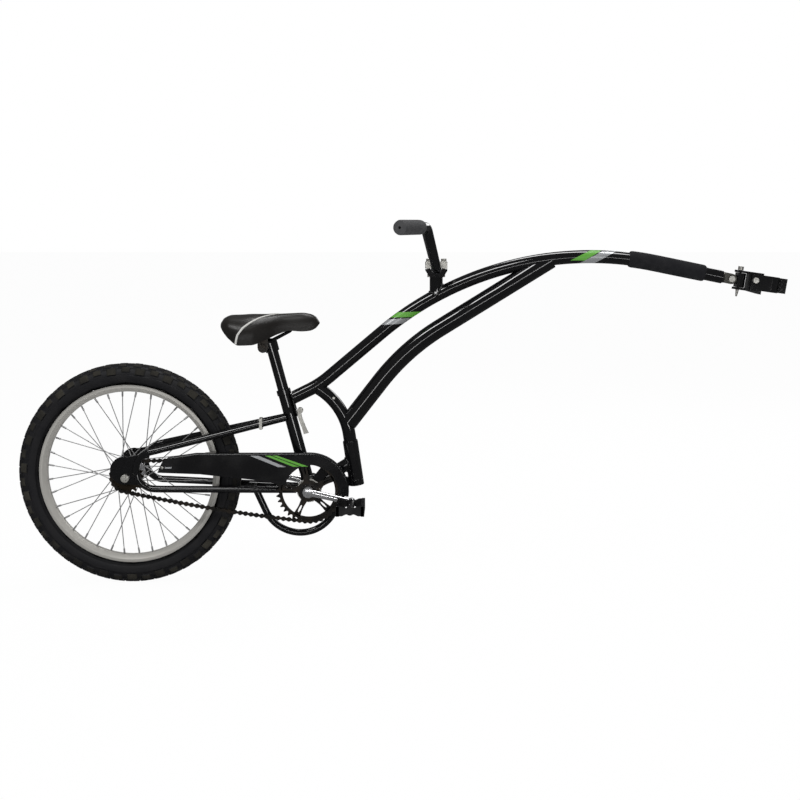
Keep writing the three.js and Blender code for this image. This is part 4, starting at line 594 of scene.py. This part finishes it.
grip_foam = material("grip_foam", (0.055, 0.055, 0.057), (0.7, 0.85), dust_share=0.05, patch=70,
                     shine=0.3, cells=(520, "F1", 0.7), bump=0.4, depth=0.0005)
grip_radius, rib_depth, rib_pitch = 15.6, 0.4, 5.5
height = np.linspace(4, 114, 111)
ribbed = grip_radius + rib_depth * np.cos(height * 2 * np.pi / rib_pitch)
grip_profile = [[3.2, 2.0], [3.2, -4.9], [12.5, -4.9], [15.0, -3.6],
                *np.stack([ribbed, height - 4.9], 1).tolist(), [15.0, 111.5], [13.0, 113.1],
                [11.4, 113.1], [11.4, 2.0], [3.2, 2.0]]
for name, end, inner in (("grip_right", bar_corners[-1], bar_corners[-2]),
                         ("grip_left", bar_corners[0], bar_corners[1])):
    turned(name + "_foam", grip_profile, end, inner - end, grip_foam, "handlebar", [name], "foam")

# Hitch.
# A steel yoke, a yaw block and a split clamp with two bolts hold the seat post of the towing
# bicycle. The forgings are painted black, and the bolts and the pin are zinc plated.
resin = material("black_resin", (0.006, 0.006, 0.007), (0.24, 0.36), dust_share=0.02, patch=25,
                 grain=1100, bump=0.1, shine=0.4)
dress("yaw_block", black_paint, "hitch_block", bevel=0.9)
dress("yaw_pin", zinc, "hitch_block", bevel=0.3)
for name in ("yoke", "clamp_half_right", "clamp_half_left"):
    dress(name, black_paint, "hitch_yoke", bevel=0.9)
dress("yoke_cross_bolt", zinc, "hitch_yoke", bevel=0.4)
dress("post_bush", resin, "hitch_yoke", bevel=0.3)

# Rear frame.
# The seat tube and the link tube stand on the bottom bracket shell, a hairpin stay runs round
# each dropout, and a bent tube loops under the chainring. Steel, welded and powder coated.
for name in ("seat_collar", "dropout_right", "dropout_left", "stay_bridge", "guard_bracket",
             "bracket_shell", "hinge_sleeve"):
    dress(name, black_paint, "rear_frame", bevel=0.5)
frame_tube, stay_radius, shell_radius, sleeve_radius = 14.3, 8.0, 28, 17.5
seat_line = bracket + seat_up * np.linspace(20, 237.5, 60)[:, None]
tube("seat_tube_skin", seat_line, frame_tube, black_paint, "rear_frame", ["seat_tube"], sides=40)
turned("seat_tube_boss", [[0, -17.3], [7, -17.3], [8, -16.5], [8, -11], [0, -11]],
       on_seat_tube(189, 0), facing, black_paint, "rear_frame", slot="black_paint", steps=32)
for name in ("bracket_cup_right", "bracket_cup_left", "rear_axle", "latch_skewer", "flag_clip"):
    dress(name, zinc, "rear_frame", bevel=0.3)
for name in ("hinge_bush_upper", "hinge_bush_lower"):
    dress(name, resin, "rear_frame", bevel=0.3)
link_end = on_hinge(58)
link_way = unit(link_end - bracket)
link_length = norm(link_end - bracket)
link_path = bracket + link_way * np.linspace(20, link_length - 8, 30)[:, None]
tube("link", link_path, frame_tube, black_paint, "rear_frame", ["link_tube"], sides=32)
weld("seat_tube_weld", on_seat_tube(120, 0), -seat_up, frame_tube, bracket, facing, shell_radius,
     "rear_frame")
weld("link_weld", link_end, -link_way, frame_tube, bracket, facing, shell_radius, "rear_frame")
weld("sleeve_weld", bracket, link_way, frame_tube, link_end, hinge_up, sleeve_radius, "rear_frame")

leg_fall, leg_rise, lower_leg, upper_leg, stay_bend = 1.6, 14.9, 322, 318, 43.5
fall = np.radians(leg_fall)
leg_way = aimed(-fall)
bend_centre = np.array([67.7, 0, 276.7])
stay_foot = bend_centre + stay_bend * aimed(-fall - np.pi / 2)
stay_plan = walk(stay_foot + lower_leg * leg_way, 180 - leg_fall, [
    ("run", lower_leg), ("turn", leg_rise - 180, stay_bend), ("run", upper_leg)], 3)
reach = lengths_along(stay_plan)
# Each stay stands widest beside the wheel, and draws in towards both of its ends.
stay_out = np.interp(reach, [0, 309, reach[-1] - 305, reach[-1] - 10], [22, 57.5, 57.5, 12])
in_shell = 22
clear = norm((stay_plan - bracket)[:, [0, 2]], axis=1) >= in_shell
for name, side in (("stay_right", -1), ("stay_left", 1)):
    path = stay_plan + side * stay_out[:, None] * facing
    tube(name + "_tube", path[clear], stay_radius, black_paint, "rear_frame", [name], sides=24)
loop_path = walk(stay_foot + 223 * leg_way, -66, [("run", 63.4), ("turn", 132, 88), ("run", 86)], 3)
from_hinge = norm(np.cross(loop_path - hinge_foot, hinge_up), axis=1)
tube("loop", before(loop_path, from_hinge < 14), stay_radius, black_paint, "rear_frame",
     ["guard_loop"], sides=24)

# Latch.
# A zinc plated cam lever pulls the boom's plate against the seat tube by a short skewer.
# The few faces of its lowest end take a darker zinc, as painted shade.
lever = dress("latch_lever", zinc, "latch_lever")
lever.data.materials.append(dark_zinc_and_painted_shade)
tip_height = 0.131  # up along the seat tube, m
middles = np.empty(3 * len(lever.data.polygons), np.float32)
lever.data.polygons.foreach_get("center", middles)
# Faces of the lever below this height take the darker zinc as painted shade.
lever_shaded_tip = (middles.reshape(-1, 3) - to_part(bracket)) @ seat_up < tip_height
lever.data.polygons.foreach_set("material_index", lever_shaded_tip.astype(int))

# Wheel.
# A 20 inch tyre with blocky side knobs sits on a grey painted rim, laced with 36 plain spokes
# to a chromed steel hub. The tyre is moulded rubber; its knobs are paler with dust and painted
# light, so the gaps between them stay darker as painted shade.
rubber = material("tyre_rubber", (0.008, 0.008, 0.01), (0.55, 0.75), dust=(0.1, 0.09, 0.075),
                  dust_share=0.05, patch=30, grain=1500, bump=0.3, depth=0.0005, shine=0.3)
knob_dust_and_light = material("knob_dust_and_painted_light", (0.015, 0.014, 0.012), (0.8, 0.95), dust=(0.075, 0.068, 0.052),
                 dust_share=0.42, patch=16, grain=1500, bump=0.4, depth=0.0006, shine=0.2)
tyre_radius, tyre_half, tyre_wall, bead = 256.5, 27.0, 3.0, 210.0
knob_count, knob_height, rib_height, dust_and_light_above = 46, 4.4, 0.4, 1.2
turns, across = 966, 82
theta = circle(turns)[:, None]
phi = np.linspace(-1, 1, across)[None]  # share round the section, from bead to bead
section = 0.69 * np.pi * np.sign(phi) * np.abs(phi) ** 0.92
core_r = bead + (tyre_radius - 2.0 - bead) * (0.46 + 0.54 * np.cos(section))
core_y = np.sign(section) * tyre_half * np.abs(np.sin(section)) ** 0.8


def square_wave(phase, duty, soft):
    """A soft edged square wave: 1 for the duty share of each cycle, with straight ramps."""
    saw = np.abs((phase % 1.0) - 0.5) * 2
    return np.clip((duty - saw) / soft + 0.5, 0, 1)


def zone(low, high):
    """1 where the share round the section lies between two values, on either side of the crown."""
    return np.clip(np.minimum(abs(phi) - low, high - abs(phi)) / 0.02 + 0.5, 0, 1)


def about_hub(angle, radius, aside):
    """Points round the wheel's axis: hub + (radius cos a, aside, radius sin a)."""
    return hub + np.stack([radius * np.cos(angle), aside + 0 * angle, radius * np.sin(angle)], -1)


# Knobs lift the section along its own angle. Long and short side knobs take turns, and the
# shoulders under them are drawn in by a tenth, to clear the stays.
spin = theta / (2 * np.pi) * knob_count + 0.5 * (phi > 0)
odd = np.floor(spin) % 2
long_knob = square_wave(spin, 0.62, 0.14) * zone(0.31, 0.62) * (odd < 1)
short_knob = square_wave(spin, 0.55, 0.14) * zone(0.29, 0.52) * (odd > 0)
crown_a = square_wave(spin + 0.25, 0.55, 0.14) * (abs(phi) < 0.09)
crown_b = square_wave(spin + 0.75, 0.5, 0.14) * zone(0.12, 0.25)
lift = knob_height * np.maximum(np.maximum(long_knob, short_knob), np.maximum(crown_a, crown_b))
lift = lift + rib_height * square_wave(spin * 3, 0.5, 0.2) * zone(0.68, 0.72)
outer = about_hub(theta, core_r + lift * np.cos(section),
                  core_y * (1 - 0.1 * zone(0.29, 0.64)) + lift * np.sin(section) * 0.5)
inner = about_hub(theta, core_r - tyre_wall * np.cos(section), core_y * 0.86)[:, ::-1]
tyre_points = np.concatenate([outer, inner[:, ::6]], 1)
tyre = piece("tyre_tread", tyre_points, grid_faces(turns, tyre_points.shape[1], wrap_rows=True),
             rubber, "wheel", ["tyre"], "tyre", sharp=34)
tyre.data.materials.append(knob_dust_and_light)
raised = np.zeros(tyre_points.shape[:2])
raised[:, :across] = lift
# Knob tops above this lift take the paler dusty rubber, partly dust and partly painted light, and
# the darker gaps are painted shade.
tyre.data.polygons.foreach_set("material_index", (raised > dust_and_light_above).astype(int).ravel())


def mirrored(half):
    """A profile, then its mirror image in the middle plane, run backwards."""
    return half + [[radius, -height] for radius, height in half[::-1]]


rim_grey = material("rim_grey", (0.47, 0.455, 0.42), (0.34, 0.5), metal=0.25, dust_share=0.1,
                    patch=22, grain=800, bump=0.06)
rim_profile = mirrored([
    [194, 8], [203, 16], [208.5, 16], [210, 15.4], [210, 13.6], [204.6, 13.6], [196.8, 7.2]])
rim_profile += [[193.3, -6], [193.3, 6], [194, 8]]
turned("rim_band", rim_profile, hub, facing, rim_grey, "wheel", ["rim"], "grey_paint", steps=256)
chrome = material("chrome", (0.85, 0.85, 0.86), (0.1, 0.2), metal=0.9, dust_share=0.02,
                  patch=30, grain=300, bump=0.02)
hub_profile = mirrored([
    [5.3, -36.5], [12.6, -36.5], [14, -35.4], [14, -30.4], [16.5, -29.6], [28.2, -29.6],
    [29, -28.9], [29, -27.2], [28.2, -26.4], [18.5, -26.4], [16, -22]]) + [[5.3, -36.5]]
turned("hub_barrel", hub_profile, hub, facing, chrome, "wheel", ["hub_shell"], "chrome")
spoke_steel = material("spoke_steel", (0.42, 0.42, 0.42), (0.35, 0.5), metal=0.6, dust_share=0.05,
                       patch=60, grain=900, bump=0.03)
spoke_count, spoke_sides, spoke_phase, nipple_length = 18, 8, np.radians(4.3), 12
flange_radius, flange_y, nipple_radius, nipple_y = 26, 32.5, 192.5, 4.0


def laced(side):
    """The spokes of one side as one mesh: rods of eight sides, each with its nipple.

    Spoke i leaves the flange at its own angle and meets the rim three holes ahead or behind.
    """
    step = 2 * np.pi / spoke_count
    i = np.arange(spoke_count)
    at_hub = spoke_phase + (step / 2 if side > 0 else 0) + i * step
    at_rim = at_hub + np.where(i % 2, -1, 1) * 3 * step
    start = about_hub(at_hub, flange_radius, side * flange_y)
    end = about_hub(at_rim, nipple_radius, side * nipple_y)
    whole = norm(end - start, axis=1, keepdims=True)
    way = (end - start) / whole
    out = unit(np.cross(way, facing))
    up = np.cross(way, out)
    # Radius, and 0 for the flange, 1 for the nipple's foot and 2 for its head.
    stations = np.array([[0.02, 0], [1.1, 0], [1.1, 1], [2.1, 1.02], [2.2, 2], [0.02, 2]])
    angle = circle(spoke_sides)[None, :, None]
    nipple = np.where(stations[:, 1] < 2, whole - nipple_length, whole)
    along = np.where(stations[:, 1] < 1, 0, nipple)
    ring = np.cos(angle) * out[:, None] + np.sin(angle) * up[:, None]
    points = (start[:, None, None] + along[:, :, None, None] * way[:, None, None]
              + stations[None, :, :1, None] * ring[:, None])
    first = i[:, None, None] * len(stations) * spoke_sides
    return points, (grid_faces(len(stations), spoke_sides)[None] + first).reshape(-1, 4)


for name, side in (("spokes_right", -1), ("spokes_left", 1)):
    piece(name + "_laced", *laced(side), spoke_steel, "wheel", [name], "chrome", sharp=50)
dress("inner_tube", rubber, "wheel", bevel=0)

# Drive.
# A half inch chain runs from the chainring to the freewheel; ring and chain are oiled black steel.
# The cranks are one chromed forging, and the pedals are moulded resin with toothed cages.
black_steel = material("black_steel", (0.012, 0.011, 0.01), (0.25, 0.4), metal=0.5,
                       dust=(0.06, 0.035, 0.015), dust_share=0.3, patch=60, grain=700, bump=0.1)
cog_steel = material("cog_steel", (0.03, 0.022, 0.014), (0.3, 0.45), metal=0.8,
                     dust=(0.02, 0.012, 0.006), dust_share=0.5, patch=90, grain=700, bump=0.1)
cog_pitch, ring_pitch, chain_pitch = 36.57, 72.86, 12.7
chain_y, chain_sag, crank_length = -41.0, 5.5, 102.0
ring_at, cog_at = bracket[[0, 2]], hub[[0, 2]]


def polar(centre, angle, radius):
    """X and Z of points round a centre, from angles and radii."""
    return centre + np.stack([radius * np.cos(angle), radius * np.sin(angle)], -1)


spread = circle(720)[None]


def toothed(centre, teeth, pitch):
    """The loop of a toothed rim: pointed teeth stand between rounded valleys."""
    wave = 0.5 + 0.5 * np.cos(spread * teeth)
    return polar(centre, spread, pitch - 4.2 + 7.6 * wave ** 1.6)


def prisms(outlines, y0, y1, start=0):
    """Flat plates, (plates, corners, 2) in X and Z: each runs from its y0 to its y1.

    The faces number the points from start, for a mesh that is made of several sets.
    """
    plates, corners = outlines.shape[:2]
    depth = np.stack([np.broadcast_to(y0, plates), np.broadcast_to(y1, plates)], 1)
    points = np.empty((plates, 2, corners, 3))
    points[..., [0, 2]] = outlines[:, None]
    points[..., 1] = depth[:, :, None]
    first = start + 2 * corners * np.arange(plates)[:, None]
    caps = np.concatenate([first + np.arange(corners)[::-1], first + corners + np.arange(corners)])
    walls = grid_faces(2, corners)[None] + first[..., None]
    return points.reshape(-1, 3), caps.tolist() + walls.reshape(-1, 4).tolist()


def washers(outer, inner, half):
    """Plates with a hole, from loops (plates, corners, 2): half thick to each side of the chain."""
    plates, corners = outer.shape[:2]
    points = np.empty((plates, 4, corners, 3))
    points[..., [0, 2]] = np.stack([outer, inner, inner, outer], 1)
    points[..., 1] = chain_y + half * np.array([-1, -1, 1, 1])[None, :, None]
    walls = grid_faces(4, corners, wrap_rows=True)[None]
    faces = walls + 4 * corners * np.arange(plates)[:, None, None]
    return points.reshape(-1, 3), faces.reshape(-1, 4)


ring_teeth = toothed(ring_at, 36, ring_pitch)
piece("chainring_rim", *washers(ring_teeth, polar(ring_at, spread, 61.0), 1.5), black_steel,
      "crank", ["chainring"], "black_steel")
boss, bore = polar(ring_at, spread, 25.0), polar(ring_at, spread, 9.0)
piece("chainring_boss", *washers(boss, bore, 2.2), black_steel, "crank", slot="black_steel")
arm_turn = np.radians(28) + circle(5)[:, None]
loop_turn = circle(48)[None]
reach = 43 + 21 * np.cos(loop_turn)
arm_half = 6.0 + 0.011 * (reach - 42) ** 2
arm_side = arm_half * np.sign(np.sin(loop_turn)) * np.abs(np.sin(loop_turn)) ** 0.35


def spun(along, aside):
    """Loops given along and beside a radius, turned to each of the spider's five arms."""
    c, s = np.cos(arm_turn), np.sin(arm_turn)
    return ring_at + np.stack([c * along - s * aside, s * along + c * aside], -1)


slots = spun(47 + 9.5 * np.cos(loop_turn), 2.3 * np.sin(loop_turn))
piece("chainring_arms", *washers(spun(reach, arm_side), slots, 1.5), black_steel, "crank",
      slot="black_steel")
cog_teeth = toothed(cog_at, 18, cog_pitch)
piece("cog_disc", *washers(cog_teeth, polar(cog_at, spread, 21.0), 1.4), cog_steel, "cog",
      ["rear_cog"], "zinc_steel")
turned("freewheel_body", [[14.5, -46], [20.4, -46], [22, -45], [22, -32], [20.4, -31], [14.5, -31],
                          [14.5, -46]], hub, facing, cog_steel, "cog")

line_turn = np.arctan2(*(ring_at - cog_at)[::-1])
wrap_turn = np.arccos((cog_pitch - ring_pitch) / norm(ring_at - cog_at))
round_cog = np.linspace(line_turn + wrap_turn, line_turn + 2 * np.pi - wrap_turn, 60)
cog_part = polar(cog_at, round_cog, cog_pitch)
round_ring = np.linspace(line_turn - wrap_turn, line_turn + wrap_turn, 90)
ring_part = polar(ring_at, round_ring, ring_pitch)
below = np.linspace(0, 1, 80)[1:-1, None]
lower_run = cog_part[-1] + below * (ring_part[0] - cog_part[-1])
lower_run[:, 1] -= (4 * chain_sag * below * (1 - below))[:, 0]
around = np.concatenate([cog_part, lower_run, ring_part, cog_part[:1]])
around_length = lengths_along(around)
link_count = 2 * int(round(around_length[-1] / chain_pitch / 2))
pins = read_off(np.linspace(0, around_length[-1], link_count + 1), around_length, around)
from_pin, to_pin = pins[:-1], pins[1:]
link_along = unit(to_pin - from_pin)
link_side = np.stack([-link_along[:, 1], link_along[:, 0]], 1)
plate_round, plate_waist, plate_thick, waist_at = 4.8, 1.9, 1.1, [-chain_pitch / 2]
bow = np.radians(np.linspace(-128, 128, 15))
round_u, round_v = plate_round * np.cos(bow), plate_round * np.sin(bow)
plate_u = np.concatenate([round_u, waist_at, -round_u - chain_pitch, waist_at])
plate_v = np.concatenate([round_v, [plate_waist], -round_v, [-plate_waist]])
plate = (to_pin[:, None] + plate_u[None, :, None] * link_along[:, None]
         + plate_v[None, :, None] * link_side[:, None])
near = np.where(np.arange(link_count) % 2 == 0, 3.1, 2.0)  # outer links, then inner links
far = near + plate_thick
rollers, rivets = (polar(from_pin[:, None], circle(14), radius) for radius in (3.9, 1.7))
chain_points, chain_faces, start = [], [], 0
for outlines, y0, y1 in ((plate, -far, -near), (plate, near, far), (rollers, -1.9, 1.9),
                         (rivets, -4.8, 4.8)):
    points, faces = prisms(outlines, chain_y + y0, chain_y + y1, start)
    chain_points.append(points)
    chain_faces += faces
    start += len(points)
piece("chain_links", np.concatenate(chain_points), chain_faces, black_steel, "rear_frame",
      ["chain"], "black_steel", sharp=40)

crank_way = aimed(np.radians(-13))
spindle = mirrored([[0, -65.4], [9.5, -65.4], [12.5, -64], [12.5, -55], [11.2, -53.4],
                    [11.2, -46], [8, -45]])
turned("crank_spindle", spindle, bracket, facing, chrome, "crank", ["crank_arms"], "chrome")
pedal_barrel = mirrored([[4.8, -43], [9.6, -43], [9.6, -30], [8.2, -26]]) + [[4.8, -43]]
box = np.array([(-1, -1), (1, -1), (1, 1), (-1, 1.0)])
cut = np.linspace(-44, 44, 14)
tall = np.where(np.arange(13) % 2 == 0, 12.0, 8.2)[:, None]
back, front = (np.stack([end_x + 3.6 * box[:, 0] + 0 * tall, tall * box[:, 1]], -1)
               for end_x in (-28.2, 28.2))
hourglass = np.array([(-31, -11), (-18, -11), (-9, -7), (9, -7), (18, -11), (31, -11), (31, 11),
                      (18, 11), (9, 7), (-9, 7), (-18, 11), (-31, 11.0)])[None].repeat(2, 0)
cage = (("back", back, cut[:-1], cut[1:]), ("front", front, cut[:-1], cut[1:]),
        ("sides", hourglass, np.array([-44, 38.5]), np.array([-38.5, 44])))
arm_share = np.linspace(0, 1, 40)
for name, side in (("right", -1), ("left", 1)):
    away = -side * crank_way
    arm_line = bracket + side * 59.0 * facing + away * (arm_share * crank_length)[:, None]
    tube("crank_arm_" + name, arm_line, 8.6 - 1.6 * arm_share, chrome, "crank", slot="chrome",
         wide=0.7)
    eye = bracket + away * crank_length
    low, high = sorted([side * 53.2, side * 64.8])
    turned("crank_eye_" + name, [[0, low], [8.6, low], [9.6, low + 1], [9.6, high - 1], [8.6, high],
                                 [0, high]], eye, facing, chrome, "crank", slot="chrome")
    low, high = sorted([side * 60.0, side * 155.6])
    turned("pedal_pin_" + name, [[0, low], [4.5, low], [4.5, high], [0, high]], eye, facing, zinc,
           "crank", slot="chrome", steps=24)
    body, pedal_y = "pedal_" + name, side * 112.0
    turned(body + "_barrel", pedal_barrel, eye + pedal_y * facing, facing, resin, body, [body],
           "black_resin", steps=32)
    for part, outlines, y0, y1 in cage:
        piece(body + "_" + part, *prisms(outlines + eye[[0, 2]], y0 + pedal_y, y1 + pedal_y),
              resin, body, slot="black_resin")

# Chain guard.
# A moulded guard of glossy black resin with a rounded shoulder along its top, a screw and a bright
# slot at its rear and three thin transfers. The strut's own screw stands beside it.
guard_resin = material("guard_resin", (0.004, 0.004, 0.0045), (0.1, 0.2), dust_share=0.01, patch=20,
                       grain=900, bump=0.06, shine=0.6)
dress("chain_guard", guard_resin, "rear_frame", bevel=0.7)
roll_radius, guard_y, guard_face = 3.4, -48.3, -50.9
guard_turn = np.linspace(np.pi / 2, np.radians(-8), 50)
guard_top = np.concatenate([np.linspace([97.5, 301.6], [160.7, 310.9], 20),
                            np.linspace([162, 311.0], [420, 311.8], 60),
                            polar(np.array([422.3, 225.7]), guard_turn, 89.5 - roll_radius)])
tube("guard_roll", np.insert(guard_top, 1, guard_y, axis=1), roll_radius, guard_resin,
     "rear_frame", slot="black_resin", sides=20)
turned("guard_screw", [[0, -52.6], [2.4, -52.6], [3.4, -52], [3.4, -50.5], [0, -50.5]],
       (83, 0, 281.4), facing, zinc, "rear_frame", slot="black_resin", steps=32)
screw_slot = [(89.5, 279.6), (104, 279.6), (105.5, 281.4), (104, 283.2), (89.5, 283.2)]
piece("guard_slot", *prisms(np.array([screw_slot]), -51.2, guard_face), silver_film, "rear_frame",
      slot="black_resin")
turned("strut_screw", [[0, -17.2], [2.8, -16.6], [3.8, -15.4], [3.8, -13.5], [0, -13.5]],
       (476.5, 0, 437.5), facing, zinc, "front_frame", slot="zinc_steel", steps=32)
guard_bands = (
    ("guard_band_silver", silver_film, [(283, 310.4), (303, 310.4), (368, 283), (350, 283)]),
    ("guard_band_green", green_film, [(318, 310.4), (331, 310.4), (398, 284), (384, 284)]),
    ("guard_band_bright", green_film, [(335, 310.4), (346, 310.4), (419, 284.5), (403, 284.2)]))
for name, film, outline in guard_bands:
    piece(name, *prisms(np.array([outline], float), -51.18, guard_face), film, "rear_frame",
          slot="black_resin")

# Seat post and saddle.
# A plain 25 mm post carries a clamp, two bent rails, a moulded shell and a padded vinyl cover.
# White piping runs from the rear of each flank up to the middle of the cover.
dress("seat_post", black_paint, "seat_post", bevel=0.4)
dress("saddle_clamp_base", black_paint, "seat_post", bevel=0.6)
dress("saddle_rails", black_paint, "saddle", bevel=0)
dress("saddle_clamp", black_steel, "saddle", bevel=0.5)
dress("saddle_shell", resin, "saddle", bevel=0.8)
vinyl = material("vinyl", (0.011, 0.0095, 0.0085), (0.3, 0.42), dust_share=0.02, patch=14,
                 shine=0.4, cells=(300, "SMOOTH_F1", 0.8), bump=0.35, depth=0.0005)
barrel = on_seat_tube(343, 0) + np.array([-17, 0, -2])
# Share of the length, and shares of the half width, the crown's height and the rim's height.
shares = np.array([
    (0, 0.42, 0.77, 0.62), (0.03, 0.66, 0.885, 0.51), (0.1, 0.9, 0.96, 0.3), (0.2, 1, 0.97, 0.115),
    (0.32, 0.93, 0.99, 0.12), (0.45, 0.69, 0.99, 0.24), (0.58, 0.47, 1, 0.41),
    (0.7, 0.35, 1.015, 0.51), (0.82, 0.3, 1.03, 0.485), (0.9, 0.25, 1.0, 0.5),
    (0.96, 0.18, 0.92, 0.57), (1, 0.06, 0.76, 0.7)])


def smooth_rows(rows, count):
    """Rows carried through their stations by a cubic of monotone slopes.

    The steps close up towards both ends, as those of a half circle seen from its side.
    """
    x, value = rows[:, 0], rows[:, 1:]
    gap = np.diff(x)[:, None]
    rise = np.diff(value, axis=0) / gap
    slope = np.zeros_like(value)
    flat = rise[:-1] * rise[1:] <= 0
    both = np.where(flat, 1, rise[:-1] + rise[1:])
    slope[1:-1] = np.where(flat, 0, 2 * rise[:-1] * rise[1:] / both)
    slope[0], slope[-1] = rise[0], rise[-1]
    t = 0.5 - 0.5 * np.cos(np.linspace(0, np.pi, count))
    k = np.clip(np.searchsorted(x, t, "right") - 1, 0, len(x) - 2)
    u = ((t - x[k]) / gap[k, 0])[:, None]
    h = gap[k]
    fitted = (value[k] * (1 + 2 * u) * (1 - u) ** 2 + slope[k] * h * u * (1 - u) ** 2
              + value[k + 1] * u ** 2 * (3 - 2 * u) + slope[k + 1] * h * u ** 2 * (u - 1))
    return t, fitted


# At each station the cover is half an arch, with blunt shoulders by the power below 1.
rows, columns, middle_column, bluntness = 96, 61, 30, 0.77
saddle_half, saddle_length, saddle_back, crown, brim = 75, 224, 95, 78.0, 76.0
t, fitted = smooth_rows(shares, rows)
half = saddle_half * fitted[:, :1]
high = barrel[2] + crown * fitted[:, 1:2] - 2
low = barrel[2] + brim * fitted[:, 2:3]
angle = np.linspace(-np.pi / 2, np.pi / 2, columns)[None]
out = np.sign(angle) * half * np.abs(np.sin(angle)) ** bluntness
out = out * (1 - 0.1 * np.abs(angle / (np.pi / 2)) ** 3)
rise = low + (high - low) * np.abs(np.cos(angle)) ** bluntness
x = (barrel[0] - saddle_back + t * saddle_length)[:, None] + 0 * angle
top = np.stack([x, out, rise], -1)
under = np.stack([x, out * 0.84, low + 2 + 0 * out], -1)[:, ::-1][:, ::4]
saddle = capped("saddle_cushion", np.concatenate([top, under], 1), vinyl, "saddle",
                ["saddle_cover"], "vinyl", sharp=50)

white_trim = material("white_trim", (0.6, 0.59, 0.56), (0.35, 0.5), dust_share=0.1, patch=50)
knots = np.array([(0.17, 1.56), (0.19, 1.3), (0.24, 1.04), (0.31, 0.8), (0.4, 0.52), (0.5, 0.25),
                  (0.58, 0.02)])
run = np.linspace(knots[0, 0], knots[-1, 0], 60)
row = np.interp(run, t, np.arange(float(rows)))
r0 = np.clip(row.astype(int), 0, rows - 2)
fr = (row - r0)[:, None]
for name, side in (("piping_right", -1), ("piping_left", 1)):
    turn = side * np.interp(run, knots[:, 0], knots[:, 1])
    column = middle_column + turn / (np.pi / 2) * middle_column
    c0 = np.clip(column.astype(int), 0, columns - 2)
    fc = (column - c0)[:, None]
    line = ((top[r0, c0] * (1 - fc) + top[r0, c0 + 1] * fc) * (1 - fr)
            + (top[r0 + 1, c0] * (1 - fc) + top[r0 + 1, c0 + 1] * fc) * fr)
    tube(name, line, 1.3 + 1.2 * np.clip((0.6 - run) / 0.4, 0, 1), white_trim, "saddle",
         slot="vinyl", sides=12)
